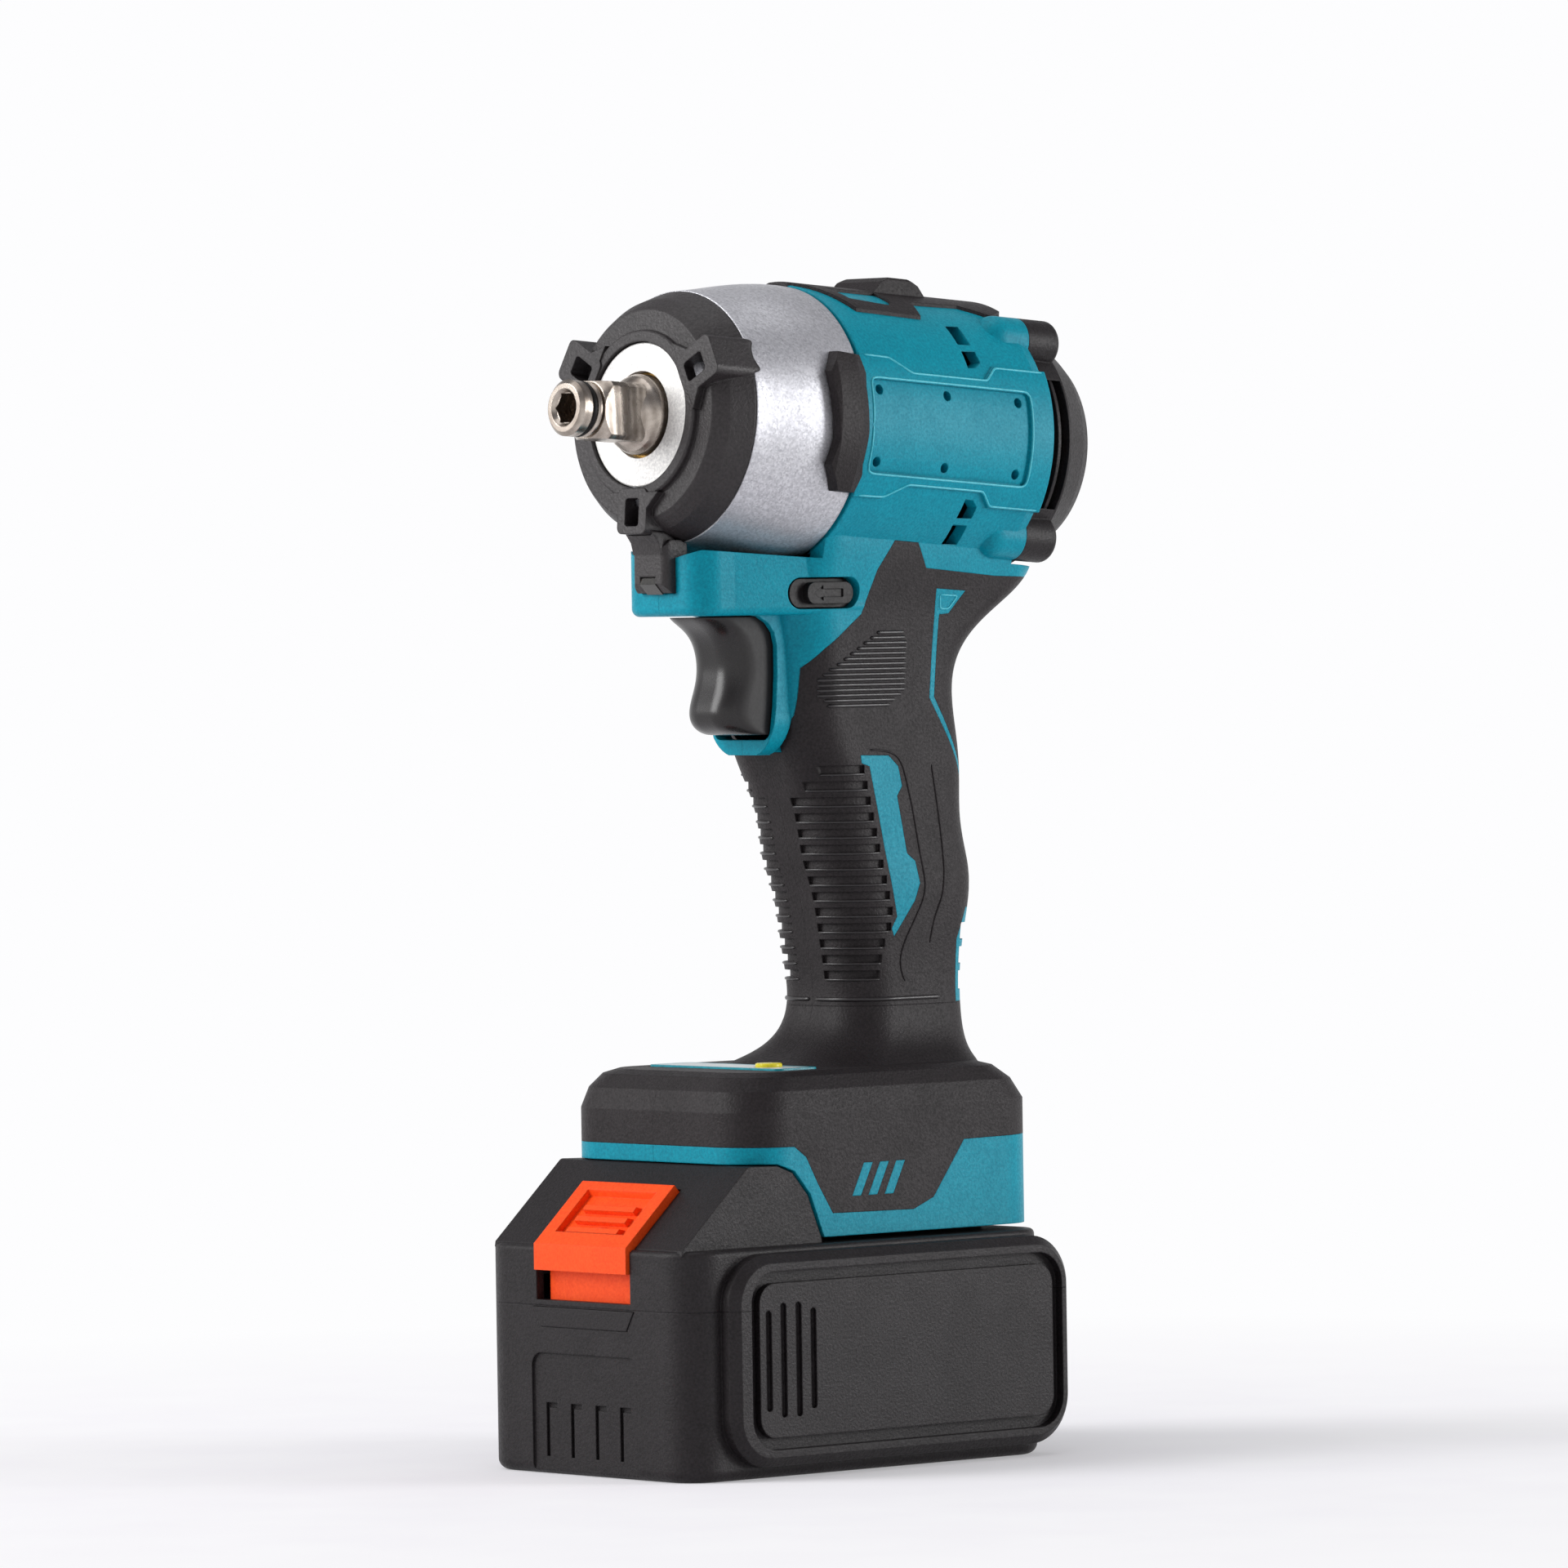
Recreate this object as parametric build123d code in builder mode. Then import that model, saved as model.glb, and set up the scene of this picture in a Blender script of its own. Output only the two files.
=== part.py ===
from build123d import *
import os
from math import acos, cos, degrees, pi, radians, sin, tan

os.makedirs("parts", exist_ok=True)

# Millimetres. +Z is up, the nose points to -Y and the tool's left side is +X.
# The origin is the middle of the battery's base, on the surface that the tool stands on.

# ---------------------------------------------------------------- driving dimensions
# drive axis
HEAD_TILT = 4.2  # the nose points up by this much, degrees
TIP_Y = -60.7
TIP_Z = 234.5
# fits
RUNNING = 0.05  # radial clearance of a turning fit
SLIDING = 0.3  # gap beside a part that slides
SEAT = 0.02  # gap between parts of one body that sit on each other
# anvil
DRIVE_SQUARE = 12.7
SOCKET_HEX = 6.35
SOCKET_DEPTH = 12.0
STICK_OUT = 22.0  # from the washer's face to the anvil's tip
FLANGE_R = 6.25
FLANGE_LENGTH = 3.2
GROOVE_R = 4.7
GROOVE_LENGTH = 3.4
SQUARE_LENGTH = 11.6
SHANK_R = 8.9
SHAFT_R = 7.5
# nose and hammer case
WASHER_R = 16.0
WASHER_HOLE_R = 9.65
WASHER_THICK = 1.6
NOSE_R = 23.5
NOSE_REAR_R = 28.0
NOSE_LENGTH = 9.6
NOSE_WALL = 2.6
CASE_R = 31.4
CASE_SPIGOT_R = 29.0
CASE_BORE_R = 26.2
LUG_ANGLES = (62.0, 180.0, 298.0)  # round the axis from the top, degrees
LUG_WIDTH = 9.6
LUG_R = 28.4
POCKET_WIDTH = 4.6
POCKET_HEIGHT = 6.2
# impact mechanism
BUSH_R = 10.5
BUSH_LENGTH = 16.0
WING_LENGTH = 7.0
WING_WIDTH = 11.0
HAMMER_R = 25.6
HAMMER_LENGTH = 18.0
HAMMER_TRAVEL = 7.5
SPINDLE_R = 8.0
CAM_BALL_R = 2.75
SPRING_R = 16.0
SPRING_WIRE_R = 1.5
SPRING_TURNS = 4
# planetary gears
GEAR_MODULE = 0.9
SUN_TEETH = 9
PLANET_TEETH = 15
RING_TEETH = 39
GEAR_WIDTH = 8.0
GEAR_BACKLASH = 0.12
CARRIER_R = 20.0
CARRIER_PLATE = 2.6
PLANET_PIN_R = 2.2
# motor
SHAFT_RADIUS = 2.5
ROTOR_R = 12.0
STATOR_R = 25.5
STATOR_LENGTH = 17.0
STATOR_TEETH = 6
FAN_R = 21.5
FAN_BLADES = 18
FAN_LENGTH = 5.0
BEARING_R = 8.0
BEARING_LENGTH = 4.5
# barrel of the housing
BARREL_R = 31.8
BARREL_WALL = 2.7
BARREL_FRONT = 60.5  # distance behind the anvil's tip
BARREL_REAR = 116.5
PANEL_STEP = 0.7
PLATE_HALF_HEIGHT = 10.3
# rear cover
COVER_R = 28.0
COVER_REAR = 139.0
POST_R = 5.4
POST_SPOTS = ((-17.6, 22.8), (17.6, 22.8), (-19.3, -21.0), (19.3, -21.0))  # across, above the axis
POST_DOME = 110.2
POST_REAR = 126.5
SCREW_R = 1.5
# handle, from the neck above the foot up to the motor
GRIP_SKIN = 1.6
SHELL_WALL = 2.2
HANDLE_SECTIONS = (  # height, middle y, half depth, half width, corner radius
    (80.0, 21.0, 25.6, 22.4, 14.0),
    (88.0, 21.2, 25.3, 22.0, 14.0),
    (90.8, 24.1, 22.2, 19.0, 13.0),
    (94.8, 26.5, 19.7, 16.8, 12.0),
    (100.8, 27.7, 18.3, 15.6, 11.0),
    (117.0, 27.5, 19.7, 15.9, 11.0),
    (134.0, 25.6, 22.3, 16.5, 11.5),
    (150.0, 22.6, 23.6, 16.8, 12.0),
    (166.0, 18.8, 24.6, 17.0, 10.0),
    (178.0, 19.0, 25.4, 17.4, 10.0),
    (187.0, 22.5, 30.0, 18.0, 10.0),
    (194.0, 26.5, 36.0, 19.0, 11.0),
    (207.0, 29.0, 39.0, 20.8, 12.0),
)
# trigger guard under the nose
GUARD_FRONT = -34.0
GUARD_BOTTOM = 188.3
GUARD_TOP_H = -29.4  # below the drive axis
GUARD_NOSE_WIDTH = 26.0
GUARD_REAR_WIDTH = 37.0
COLLAR_FOOT = 156.8  # foot of the collar round the trigger's opening
COLLAR_HALF = 10.6
# trigger and lever
TRIGGER_WIDTH = 17.5
TRIGGER_TRAVEL = 6.0
TRIGGER_GAP = 0.5
LEVER_Y = -1.0
LEVER_Z = 193.0
LEVER_LENGTH = 37.0
LEVER_DEPTH = 18.4
LEVER_HEIGHT = 6.4
# foot
FOOT_WIDTH = 64.0
FOOT_FRONT = -38.2
FOOT_REAR = 50.0
FOOT_BOTTOM = 51.6
FOOT_DECK = 88.0
FOOT_CORNER = 12.0
FOOT_SECTIONS = (  # height, how far the sides, front and rear are drawn in, share of a wall taken off the height
    (FOOT_BOTTOM, 0.0, 0.0, 0.0, 0.0),
    (79.5, 0.0, 0.0, 0.0, 0.4),
    (84.0, 1.4, 1.2, 2.4, 0.6),
    (87.0, 3.4, 3.6, 6.0, 0.9),
    (FOOT_DECK, 5.5, 6.5, 9.5, 1.0),
)
BAND_TOP = 72.2
BAND_BOTTOM = 68.4
BAND_LOW_TOP = 56.4
# control panel
PANEL_Y = -14.5
PANEL_WIDTH = 44.0
PANEL_DEPTH = 12.5
PANEL_PROUD = 0.4
BUTTON_X = 12.0
BUTTON_R = 3.0
BUTTON_TRAVEL = 0.7
# battery
BATTERY_WIDTH = 80.0
BATTERY_BODY_WIDTH = 71.0
BATTERY_FRONT = -59.2
BATTERY_REAR = 48.0
BATTERY_SEAM = 37.2
BATTERY_TOP = 50.4
BATTERY_WALL = 2.2
BULGE_FRONT = -50.2
BULGE_REAR = 50.2
BULGE_BOTTOM = 2.8
BULGE_TOP = 49.2
BULGE_CORNER = 11.0
PANEL_BORDER = 4.6
PANEL_GROOVE = 2.6
GROOVE_DEPTH = 2.0
CELL_R = 9.1
CELL_LENGTH = 65.0
CELL_PITCH = 18.7
CELLS_IN_ROW = 5
# battery latch
LATCH_WIDTH = 31.0
SLOT_BOTTOM = 38.4

# ---------------------------------------------------------------- frames and stations
AXIS_DIR = Vector(0, cos(radians(HEAD_TILT)), -sin(radians(HEAD_TILT)))
TIP = Vector(0, TIP_Y, TIP_Z)
DRIVE_AXIS = Axis(TIP, AXIS_DIR)
HEAD_FRONT = Plane(origin=TIP, x_dir=(-1, 0, 0), z_dir=AXIS_DIR)  # offset runs rearwards
HEAD_UP = (0, sin(radians(HEAD_TILT)), cos(radians(HEAD_TILT)))
HEAD_TOP = Plane(origin=TIP, x_dir=(1, 0, 0), z_dir=HEAD_UP)  # y behind
HEAD_SIDE = Plane(origin=TIP, x_dir=AXIS_DIR, z_dir=(1, 0, 0))  # x behind the tip, y above the axis
SIDE = Plane.YZ

# stations behind the anvil's tip
WASHER_S = STICK_OUT
NOSE_S = WASHER_S + WASHER_THICK
BUSH_S = NOSE_S + 1.4
BUSH_END = BUSH_S + BUSH_LENGTH
WING_S = BUSH_END + 1.0
WING_END = WING_S + WING_LENGTH
HAMMER_S = WING_END + SLIDING
HAMMER_END = HAMMER_S + HAMMER_LENGTH
CARRIER_S = HAMMER_END + HAMMER_TRAVEL + 0.7
GEAR_S = CARRIER_S + CARRIER_PLATE + SLIDING
GEAR_END = GEAR_S + GEAR_WIDTH
CARRIER_END = GEAR_END + SLIDING + CARRIER_PLATE
HUB_END = CARRIER_END + 5.0
GEARBOX_S = CARRIER_END + SLIDING
GEARBOX_END = HUB_END + 7.6
FRONT_BEARING_S = GEARBOX_END - BEARING_LENGTH - 0.5
STATOR_S = GEARBOX_END + 2.0
STATOR_END = STATOR_S + STATOR_LENGTH
BOARD_S = STATOR_END + 2.6
FAN_S = BOARD_S + 3.0
REAR_BEARING_S = COVER_REAR - 2.6 - BEARING_LENGTH
WEB_S = HAMMER_S + 6.0  # rear face of the hammer's web, where the spring sits


# ---------------------------------------------------------------- shared shapes
def turned(*corners):
    """A closed outline of (station, radius) corners turned about the drive axis."""
    with BuildPart() as solid:
        with BuildSketch(HEAD_SIDE):
            with BuildLine():
                Polyline(*corners, close=True)
            make_face()
        revolve(axis=DRIVE_AXIS)
    return solid.part


def ring(front, rear, outer, inner=0.0):
    """A round disc or tube on the drive axis."""
    return turned((front, inner), (rear, inner), (rear, outer), (front, outer))


def side_prism(points, low_x, high_x, plane=SIDE, corner=0.0):
    """A side outline carried across the tool from low_x to high_x."""
    with BuildPart() as solid:
        with BuildSketch(plane.offset(low_x)) as outline:
            with BuildLine():
                Polyline(*points, close=True)
            make_face()
            if corner:
                fillet(outline.vertices(), corner)
        extrude(amount=high_x - low_x)
    return solid.part


def rounded_slab(width, height, corner, y, z, low_x, high_x):
    """A rounded rectangle in side view, width along y, carried from low_x to high_x."""
    with BuildPart() as solid:
        with BuildSketch(SIDE.offset(low_x)):
            with Locations((y, z)):
                RectangleRounded(width, height, corner)
        extrude(amount=high_x - low_x)
    return solid.part


def head_post(x, height, front, rear, radius):
    """A round post parallel to the drive axis."""
    with BuildPart() as solid:
        with BuildSketch(HEAD_FRONT.offset(front)):
            with Locations((-x, height)):
                Circle(radius)
        extrude(amount=rear - front)
    return solid.part


def coil(radius, wire, pitch, turns, plane):
    """A compression spring whose axis is the plane's normal."""
    with BuildPart() as solid:
        with BuildLine():
            path = Helix(pitch, pitch * turns, radius, center=plane.origin, direction=plane.z_dir)
        with BuildSketch(Plane(origin=path @ 0, z_dir=path % 0)):
            Circle(wire)
        sweep(path=path)
    return solid.part


def largest(part):
    """The largest solid of a part, without slivers that the cuts leave loose."""
    return part.solids().sort_by(SortBy.VOLUME)[-1]


def write(name, part):
    """Label a finished piece and write its STEP file."""
    part.label = name
    export_step(part, f"parts/{name}.step")


# ---------------------------------------------------------------- anvil
square_s = FLANGE_LENGTH + GROOVE_LENGTH
shank_s = square_s + SQUARE_LENGTH
with BuildPart() as drive_square:
    with BuildSketch(HEAD_FRONT.offset(square_s)):
        Rectangle(DRIVE_SQUARE, DRIVE_SQUARE)
    extrude(amount=SQUARE_LENGTH)
    add(turned(
        (square_s, 0), (square_s, DRIVE_SQUARE / 2 + 0.1), (square_s + 2, DRIVE_SQUARE * 0.655),
        (shank_s, DRIVE_SQUARE * 0.655), (shank_s, 0),
    ), mode=Mode.INTERSECT)

with BuildPart() as anvil_wings:
    with BuildSketch(HEAD_FRONT.offset(WING_S)):
        Rectangle(WING_WIDTH, 2 * HAMMER_R)
    extrude(amount=WING_LENGTH)
    add(ring(WING_S, WING_END, HAMMER_R - 2.4), mode=Mode.INTERSECT)

with BuildPart() as anvil:
    add(turned(
        (0, 0), (0, FLANGE_R - 0.9), (0.9, FLANGE_R), (FLANGE_LENGTH, FLANGE_R),
        (FLANGE_LENGTH, GROOVE_R), (FLANGE_LENGTH + GROOVE_LENGTH, GROOVE_R),
        (FLANGE_LENGTH + GROOVE_LENGTH, 0),
    ))
    add(drive_square.part)
    add(turned(
        (shank_s - 1.4, 0), (shank_s - 1.4, SHAFT_R - 1.2), (shank_s + 1.4, SHANK_R - 0.5),
        (shank_s + 2.6, SHANK_R), (NOSE_S + 0.6, SHANK_R), (NOSE_S + 0.6, SHAFT_R),
        (WING_S, SHAFT_R), (WING_S, 12.0), (WING_END, 12.0), (WING_END, 0),
    ))
    add(anvil_wings.part)
    add(ring(WING_END - 9.0, WING_END, SPINDLE_R / 2 + RUNNING), mode=Mode.SUBTRACT)
    with BuildSketch(HEAD_FRONT):
        RegularPolygon(SOCKET_HEX / 2, 6, major_radius=False)
    extrude(amount=SOCKET_DEPTH, mode=Mode.SUBTRACT)
    add(turned((-1, 0), (-1, 5.1), (1.0, 3.4), (1.0, 0)), mode=Mode.SUBTRACT)
write("anvil", anvil.part)

with BuildPart() as anvil_o_ring:
    with BuildSketch(HEAD_SIDE):
        with Locations((FLANGE_LENGTH + 1.0, GROOVE_R + 0.75 + SEAT)):
            Circle(0.75)
    revolve(axis=DRIVE_AXIS)
write("anvil_o_ring", anvil_o_ring.part)

with BuildPart() as friction_ring:
    ring_s = FLANGE_LENGTH + GROOVE_LENGTH - 1.4
    add(turned(
        (ring_s, GROOVE_R + SEAT), (ring_s, 5.7), (ring_s + 0.4, 6.1), (ring_s + 0.9, 6.1),
        (ring_s + 1.3, 5.7), (ring_s + 1.3, GROOVE_R + SEAT),
    ))
write("friction_ring", friction_ring.part)

with BuildPart() as anvil_bush:
    add(ring(BUSH_S, BUSH_END, BUSH_R, SHAFT_R + RUNNING))
write("anvil_bush", anvil_bush.part)

with BuildPart() as front_washer:
    add(ring(WASHER_S, NOSE_S - SEAT, WASHER_R, WASHER_HOLE_R))
    washer_rims = front_washer.edges().filter_by(GeomType.CIRCLE).group_by(SortBy.RADIUS)[-1]
    fillet(washer_rims.sort_by(Axis.Y)[0], 0.4)
write("front_washer", front_washer.part)

# ---------------------------------------------------------------- hammer case and nose bumper
CASE_STEP_S = WASHER_S + NOSE_LENGTH + 0.2
with BuildPart() as hammer_case:
    with BuildSketch(HEAD_SIDE):
        with BuildLine():
            front_outline = Polyline(
                (BUSH_S, BUSH_R + SEAT), (BUSH_S, WASHER_HOLE_R), (NOSE_S, WASHER_HOLE_R),
                (NOSE_S, NOSE_R - 5), (NOSE_S + 1, NOSE_R - 3.4), (CASE_STEP_S, NOSE_REAR_R - NOSE_WALL),
                (CASE_STEP_S, NOSE_REAR_R + 0.2),
            )
            shoulder = Spline(
                front_outline @ 1, (CASE_STEP_S + 7, NOSE_REAR_R + 1.3), (CASE_STEP_S + 15, CASE_R - 0.7),
                (BARREL_FRONT - 7, CASE_R), (BARREL_FRONT - SLIDING, CASE_R),
            )
            Polyline(
                shoulder @ 1, (BARREL_FRONT - SLIDING, CASE_SPIGOT_R), (CARRIER_END, CASE_SPIGOT_R),
                (CARRIER_END, CASE_BORE_R), (BUSH_END + 3.4, CASE_BORE_R), (BUSH_END + 0.4, CASE_BORE_R - 2),
                (BUSH_END + 0.4, BUSH_R + SEAT), (BUSH_S, BUSH_R + SEAT),
            )
        make_face()
    revolve(axis=DRIVE_AXIS)
write("hammer_case", hammer_case.part)


def nose_lug(angle, reach):
    """One radial lug of the bumper, angle measured from straight up, without its pocket."""
    middle = (WASHER_R + 0.3 + reach) / 2
    with BuildPart() as lug:
        with BuildSketch(HEAD_FRONT.offset(WASHER_S - 1.2)):
            with Locations(Location((0, 0, 0), (0, 0, 1), angle)):
                with Locations((0, middle)):
                    RectangleRounded(LUG_WIDTH, reach - WASHER_R - 0.3, 1.6)
                with Locations((0, WASHER_R + 2.9)):
                    Trapezoid(LUG_WIDTH + 7.0, 3.4, 45.0)
        extrude(amount=NOSE_LENGTH + 2.9)
    return lug.part


def lug_pocket(angle):
    """The square pocket in a lug, with room for the clip that stands in it."""
    with BuildPart() as pocket:
        with BuildSketch(HEAD_FRONT.offset(WASHER_S - 2)):
            with Locations(Location((0, 0, 0), (0, 0, 1), angle)):
                with Locations((0, 21.6)):
                    RectangleRounded(POCKET_WIDTH, POCKET_HEIGHT, 0.8)
        extrude(amount=6.0)
    return pocket.part


with BuildPart() as nose_bumper:
    add(turned(
        (WASHER_S - 0.8, WASHER_R + 0.2), (WASHER_S - 0.8, WASHER_R + 2.3), (WASHER_S - 0.4, WASHER_R + 2.7),
        (WASHER_S + 0.7, WASHER_R + 2.8), (WASHER_S + 0.7, NOSE_R - 0.3), (WASHER_S + 1.6, NOSE_R + 0.6),
        (WASHER_S + 4, NOSE_R + 2.3),
        (WASHER_S + NOSE_LENGTH, NOSE_REAR_R), (WASHER_S + NOSE_LENGTH, NOSE_REAR_R - NOSE_WALL + SEAT),
        (NOSE_S + 1 - SEAT, NOSE_R - 3.3), (NOSE_S - SEAT, NOSE_R - 4.9), (NOSE_S - SEAT, WASHER_R + 0.2),
    ))
    for lug_angle in LUG_ANGLES:
        add(nose_lug(lug_angle, LUG_R if lug_angle != 180.0 else LUG_R - 2.0))
    add(ring(NOSE_S - SEAT, BARREL_FRONT, NOSE_R - 3.3), mode=Mode.SUBTRACT)
    add(turned(
        (NOSE_S - SEAT, 0), (NOSE_S - SEAT, NOSE_R - 4.9), (NOSE_S + 1 - SEAT, NOSE_R - 3.3),
        (CASE_STEP_S, NOSE_REAR_R - NOSE_WALL + SEAT), (CASE_STEP_S, NOSE_REAR_R + 0.3),
        (CASE_STEP_S + 7, NOSE_REAR_R + 1.5), (CASE_STEP_S + 7, 0),
    ), mode=Mode.SUBTRACT)
    for lug_angle in LUG_ANGLES:
        add(lug_pocket(lug_angle), mode=Mode.SUBTRACT)
write("nose_bumper", nose_bumper.part)

# ---------------------------------------------------------------- hammer, spring and spindle
with BuildPart() as hammer_lugs:
    with BuildSketch(HEAD_FRONT.offset(WING_S + SLIDING)):
        Rectangle(2 * HAMMER_R, WING_WIDTH)
    extrude(amount=WING_LENGTH)
    add(ring(WING_S, HAMMER_S, HAMMER_R - 2.4, 14.0), mode=Mode.INTERSECT)

with BuildPart() as hammer:
    add(ring(HAMMER_S, HAMMER_END, HAMMER_R, SPINDLE_R + RUNNING))
    add(ring(WEB_S, HAMMER_END, HAMMER_R - 4, SPINDLE_R + 4), mode=Mode.SUBTRACT)
    add(ring(HAMMER_END - 5, HAMMER_END, HAMMER_R - 4, 0), mode=Mode.SUBTRACT)
    add(hammer_lugs.part)
    for side in (-1, 1):
        with Locations(HEAD_FRONT.offset(HAMMER_S + 3.0) * Location((side * SPINDLE_R, 0, 0))):
            Sphere(CAM_BALL_R + RUNNING, mode=Mode.SUBTRACT)
write("hammer", hammer.part)

with BuildPart() as cam_balls:
    for side in (-1, 1):
        with Locations(HEAD_FRONT.offset(HAMMER_S + 3.0) * Location((side * SPINDLE_R, 0, 0))):
            Sphere(CAM_BALL_R)
write("cam_balls", cam_balls.part)

SPRING_GAP = CARRIER_S - WEB_S - 2 * SPRING_WIRE_R - 2 * SEAT
with BuildPart() as hammer_spring:
    add(coil(
        SPRING_R, SPRING_WIRE_R, SPRING_GAP / SPRING_TURNS, SPRING_TURNS,
        HEAD_FRONT.offset(WEB_S + SPRING_WIRE_R + SEAT),
    ))
write("hammer_spring", hammer_spring.part)

GEAR_CENTRES = GEAR_MODULE * (SUN_TEETH + PLANET_TEETH) / 2
PLANET_ANGLES = (0.0, 120.0, 240.0)


def planet_place(angle, station):
    """The plane across a planet's axis at a station."""
    turn = radians(angle)
    spot = (GEAR_CENTRES * cos(turn), GEAR_CENTRES * sin(turn), 0)
    return HEAD_FRONT.offset(station) * Location(spot)


with BuildPart() as spindle:
    add(ring(WING_END - 8.0, HAMMER_S, SPINDLE_R / 2))
    add(ring(HAMMER_S - 0.1, CARRIER_S, SPINDLE_R))
    add(ring(CARRIER_S, CARRIER_S + CARRIER_PLATE, CARRIER_R))
    add(ring(GEAR_END + SLIDING, CARRIER_END, CARRIER_R - 2, 5.6))
    add(ring(CARRIER_END, HUB_END, 9.5, 5.6))
    with BuildSketch(HEAD_FRONT.offset(CARRIER_S + CARRIER_PLATE)):
        with PolarLocations(GEAR_CENTRES + 3.7, 3, start_angle=60):
            Rectangle(3.4, 4.6)
    extrude(amount=GEAR_WIDTH + 2 * SLIDING)
    for side in (-1, 1):  # cam grooves, straight along the travel
        with BuildSketch(HEAD_FRONT.offset(HAMMER_S + 3.0)):
            with Locations((side * SPINDLE_R, 0)):
                Circle(CAM_BALL_R + SLIDING)
        extrude(amount=HAMMER_TRAVEL, mode=Mode.SUBTRACT)
        for along in (0, HAMMER_TRAVEL):
            with Locations(HEAD_FRONT.offset(HAMMER_S + 3.0 + along) * Location((side * SPINDLE_R, 0, 0))):
                Sphere(CAM_BALL_R + SLIDING, mode=Mode.SUBTRACT)
    for planet_angle in PLANET_ANGLES:
        with BuildSketch(Plane(planet_place(planet_angle, CARRIER_S))):
            Circle(PLANET_PIN_R + SEAT)
        extrude(amount=CARRIER_END - CARRIER_S, mode=Mode.SUBTRACT)
write("spindle", spindle.part)

with BuildPart() as planet_pins:
    for planet_angle in PLANET_ANGLES:
        with BuildSketch(Plane(planet_place(planet_angle, CARRIER_S + 0.3))):
            Circle(PLANET_PIN_R)
    extrude(amount=CARRIER_END - CARRIER_S - 0.6)
write("planet_pins", planet_pins.part)


def involute(base, radius):
    """Polar angle of an involute of the base circle where it reaches a radius."""
    turn = acos(min(1.0, base / radius))
    return tan(turn) - turn


def gear_outline(teeth, tooth_top, tooth_foot, slack, first=0.0):
    """Corners of a gear's outline, its first tooth at the angle first, with flanks as involutes."""
    pitch_r = GEAR_MODULE * teeth / 2
    base = pitch_r * cos(radians(20))
    half = pi / (2 * teeth) - slack / (2 * pitch_r)
    root = pitch_r - tooth_foot
    start = max(root, base)
    radii = [start + (pitch_r + tooth_top - start) * step / 5 for step in range(6)]
    flank = [(r, half + involute(base, pitch_r) - involute(base, r)) for r in radii]
    corners = []
    for tooth in range(teeth):
        middle = first + 2 * pi * tooth / teeth
        rise = [(root, -flank[0][1])] + [(r, -a) for r, a in flank]
        fall = [(r, a) for r, a in reversed(flank)] + [(root, flank[0][1])]
        if root >= base:
            rise, fall = rise[1:], fall[:-1]
        corners += [(r * cos(middle + a), r * sin(middle + a)) for r, a in rise + fall]
    return corners


def gear(plane, teeth, top, foot, slack, first, width):
    """A spur gear blank cut to its teeth, standing on a plane."""
    with BuildPart() as solid:
        with BuildSketch(plane):
            with BuildLine():
                Polyline(*gear_outline(teeth, top, foot, slack, first), close=True)
            make_face()
        extrude(amount=width)
    return solid.part


SUN_PITCH = 2 * pi / SUN_TEETH
PLANET_PITCH = 2 * pi / PLANET_TEETH
RING_PITCH = 2 * pi / RING_TEETH
GEAR_TOP = GEAR_MODULE * 0.85
GEAR_FOOT = GEAR_MODULE * 1.2


def planet_phase(angle):
    """Angle of a planet's first tooth that puts it in mesh with the sun, whose first tooth is at 0."""
    turn = radians(angle)
    return turn + pi - PLANET_PITCH * (0.5 - turn / SUN_PITCH)


for number, planet_angle in enumerate(PLANET_ANGLES, 1):
    with BuildPart() as planet_gear:
        seat = Plane(planet_place(planet_angle, GEAR_S))
        phase = planet_phase(planet_angle)
        add(gear(seat, PLANET_TEETH, GEAR_TOP, GEAR_FOOT, GEAR_BACKLASH, phase, GEAR_WIDTH))
        with BuildSketch(seat):
            Circle(PLANET_PIN_R + RUNNING)
        extrude(amount=GEAR_WIDTH, mode=Mode.SUBTRACT)
    write(f"planet_gear_{number}", planet_gear.part)

ring_phase = -RING_PITCH * (-planet_phase(0.0) / PLANET_PITCH)
with BuildPart() as ring_gear:
    add(ring(GEAR_S, GEAR_END, CASE_BORE_R - SEAT))
    add(
        gear(
            HEAD_FRONT.offset(GEAR_S), RING_TEETH, GEAR_FOOT, GEAR_TOP, -GEAR_BACKLASH, ring_phase, GEAR_WIDTH,
        ),
        mode=Mode.SUBTRACT,
    )
write("ring_gear", ring_gear.part)

with BuildPart() as spindle_bearing:
    add(ring(CARRIER_END + 0.6, HUB_END, 15.0, 9.5 + RUNNING))
write("spindle_bearing", spindle_bearing.part)

with BuildPart() as gearbox_plate:
    add(turned(
        (GEARBOX_S, 15.0 + SEAT), (GEARBOX_S, CASE_SPIGOT_R), (GEARBOX_S + 4, CASE_SPIGOT_R),
        (GEARBOX_END, 18.0), (GEARBOX_END, BEARING_R + SEAT), (FRONT_BEARING_S - SEAT, BEARING_R + SEAT),
        (FRONT_BEARING_S - SEAT, 6.0), (HUB_END + SEAT, 6.0), (HUB_END + SEAT, 15.0 + SEAT),
    ))
write("gearbox_plate", gearbox_plate.part)

# ---------------------------------------------------------------- motor
with BuildPart() as sun_pinion:
    add(gear(HEAD_FRONT.offset(GEAR_S), SUN_TEETH, GEAR_TOP, GEAR_FOOT, GEAR_BACKLASH, 0.0, GEAR_WIDTH + 1.0))
    add(ring(GEAR_END + 1.0, HUB_END + 1.0, 4.0))
    add(ring(GEAR_END + 2.5, HUB_END + 1.0, SHAFT_RADIUS + SEAT), mode=Mode.SUBTRACT)
write("sun_pinion", sun_pinion.part)

with BuildPart() as motor_shaft:
    add(ring(GEAR_END + 2.6, REAR_BEARING_S + BEARING_LENGTH, SHAFT_RADIUS))
write("motor_shaft", motor_shaft.part)

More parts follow.
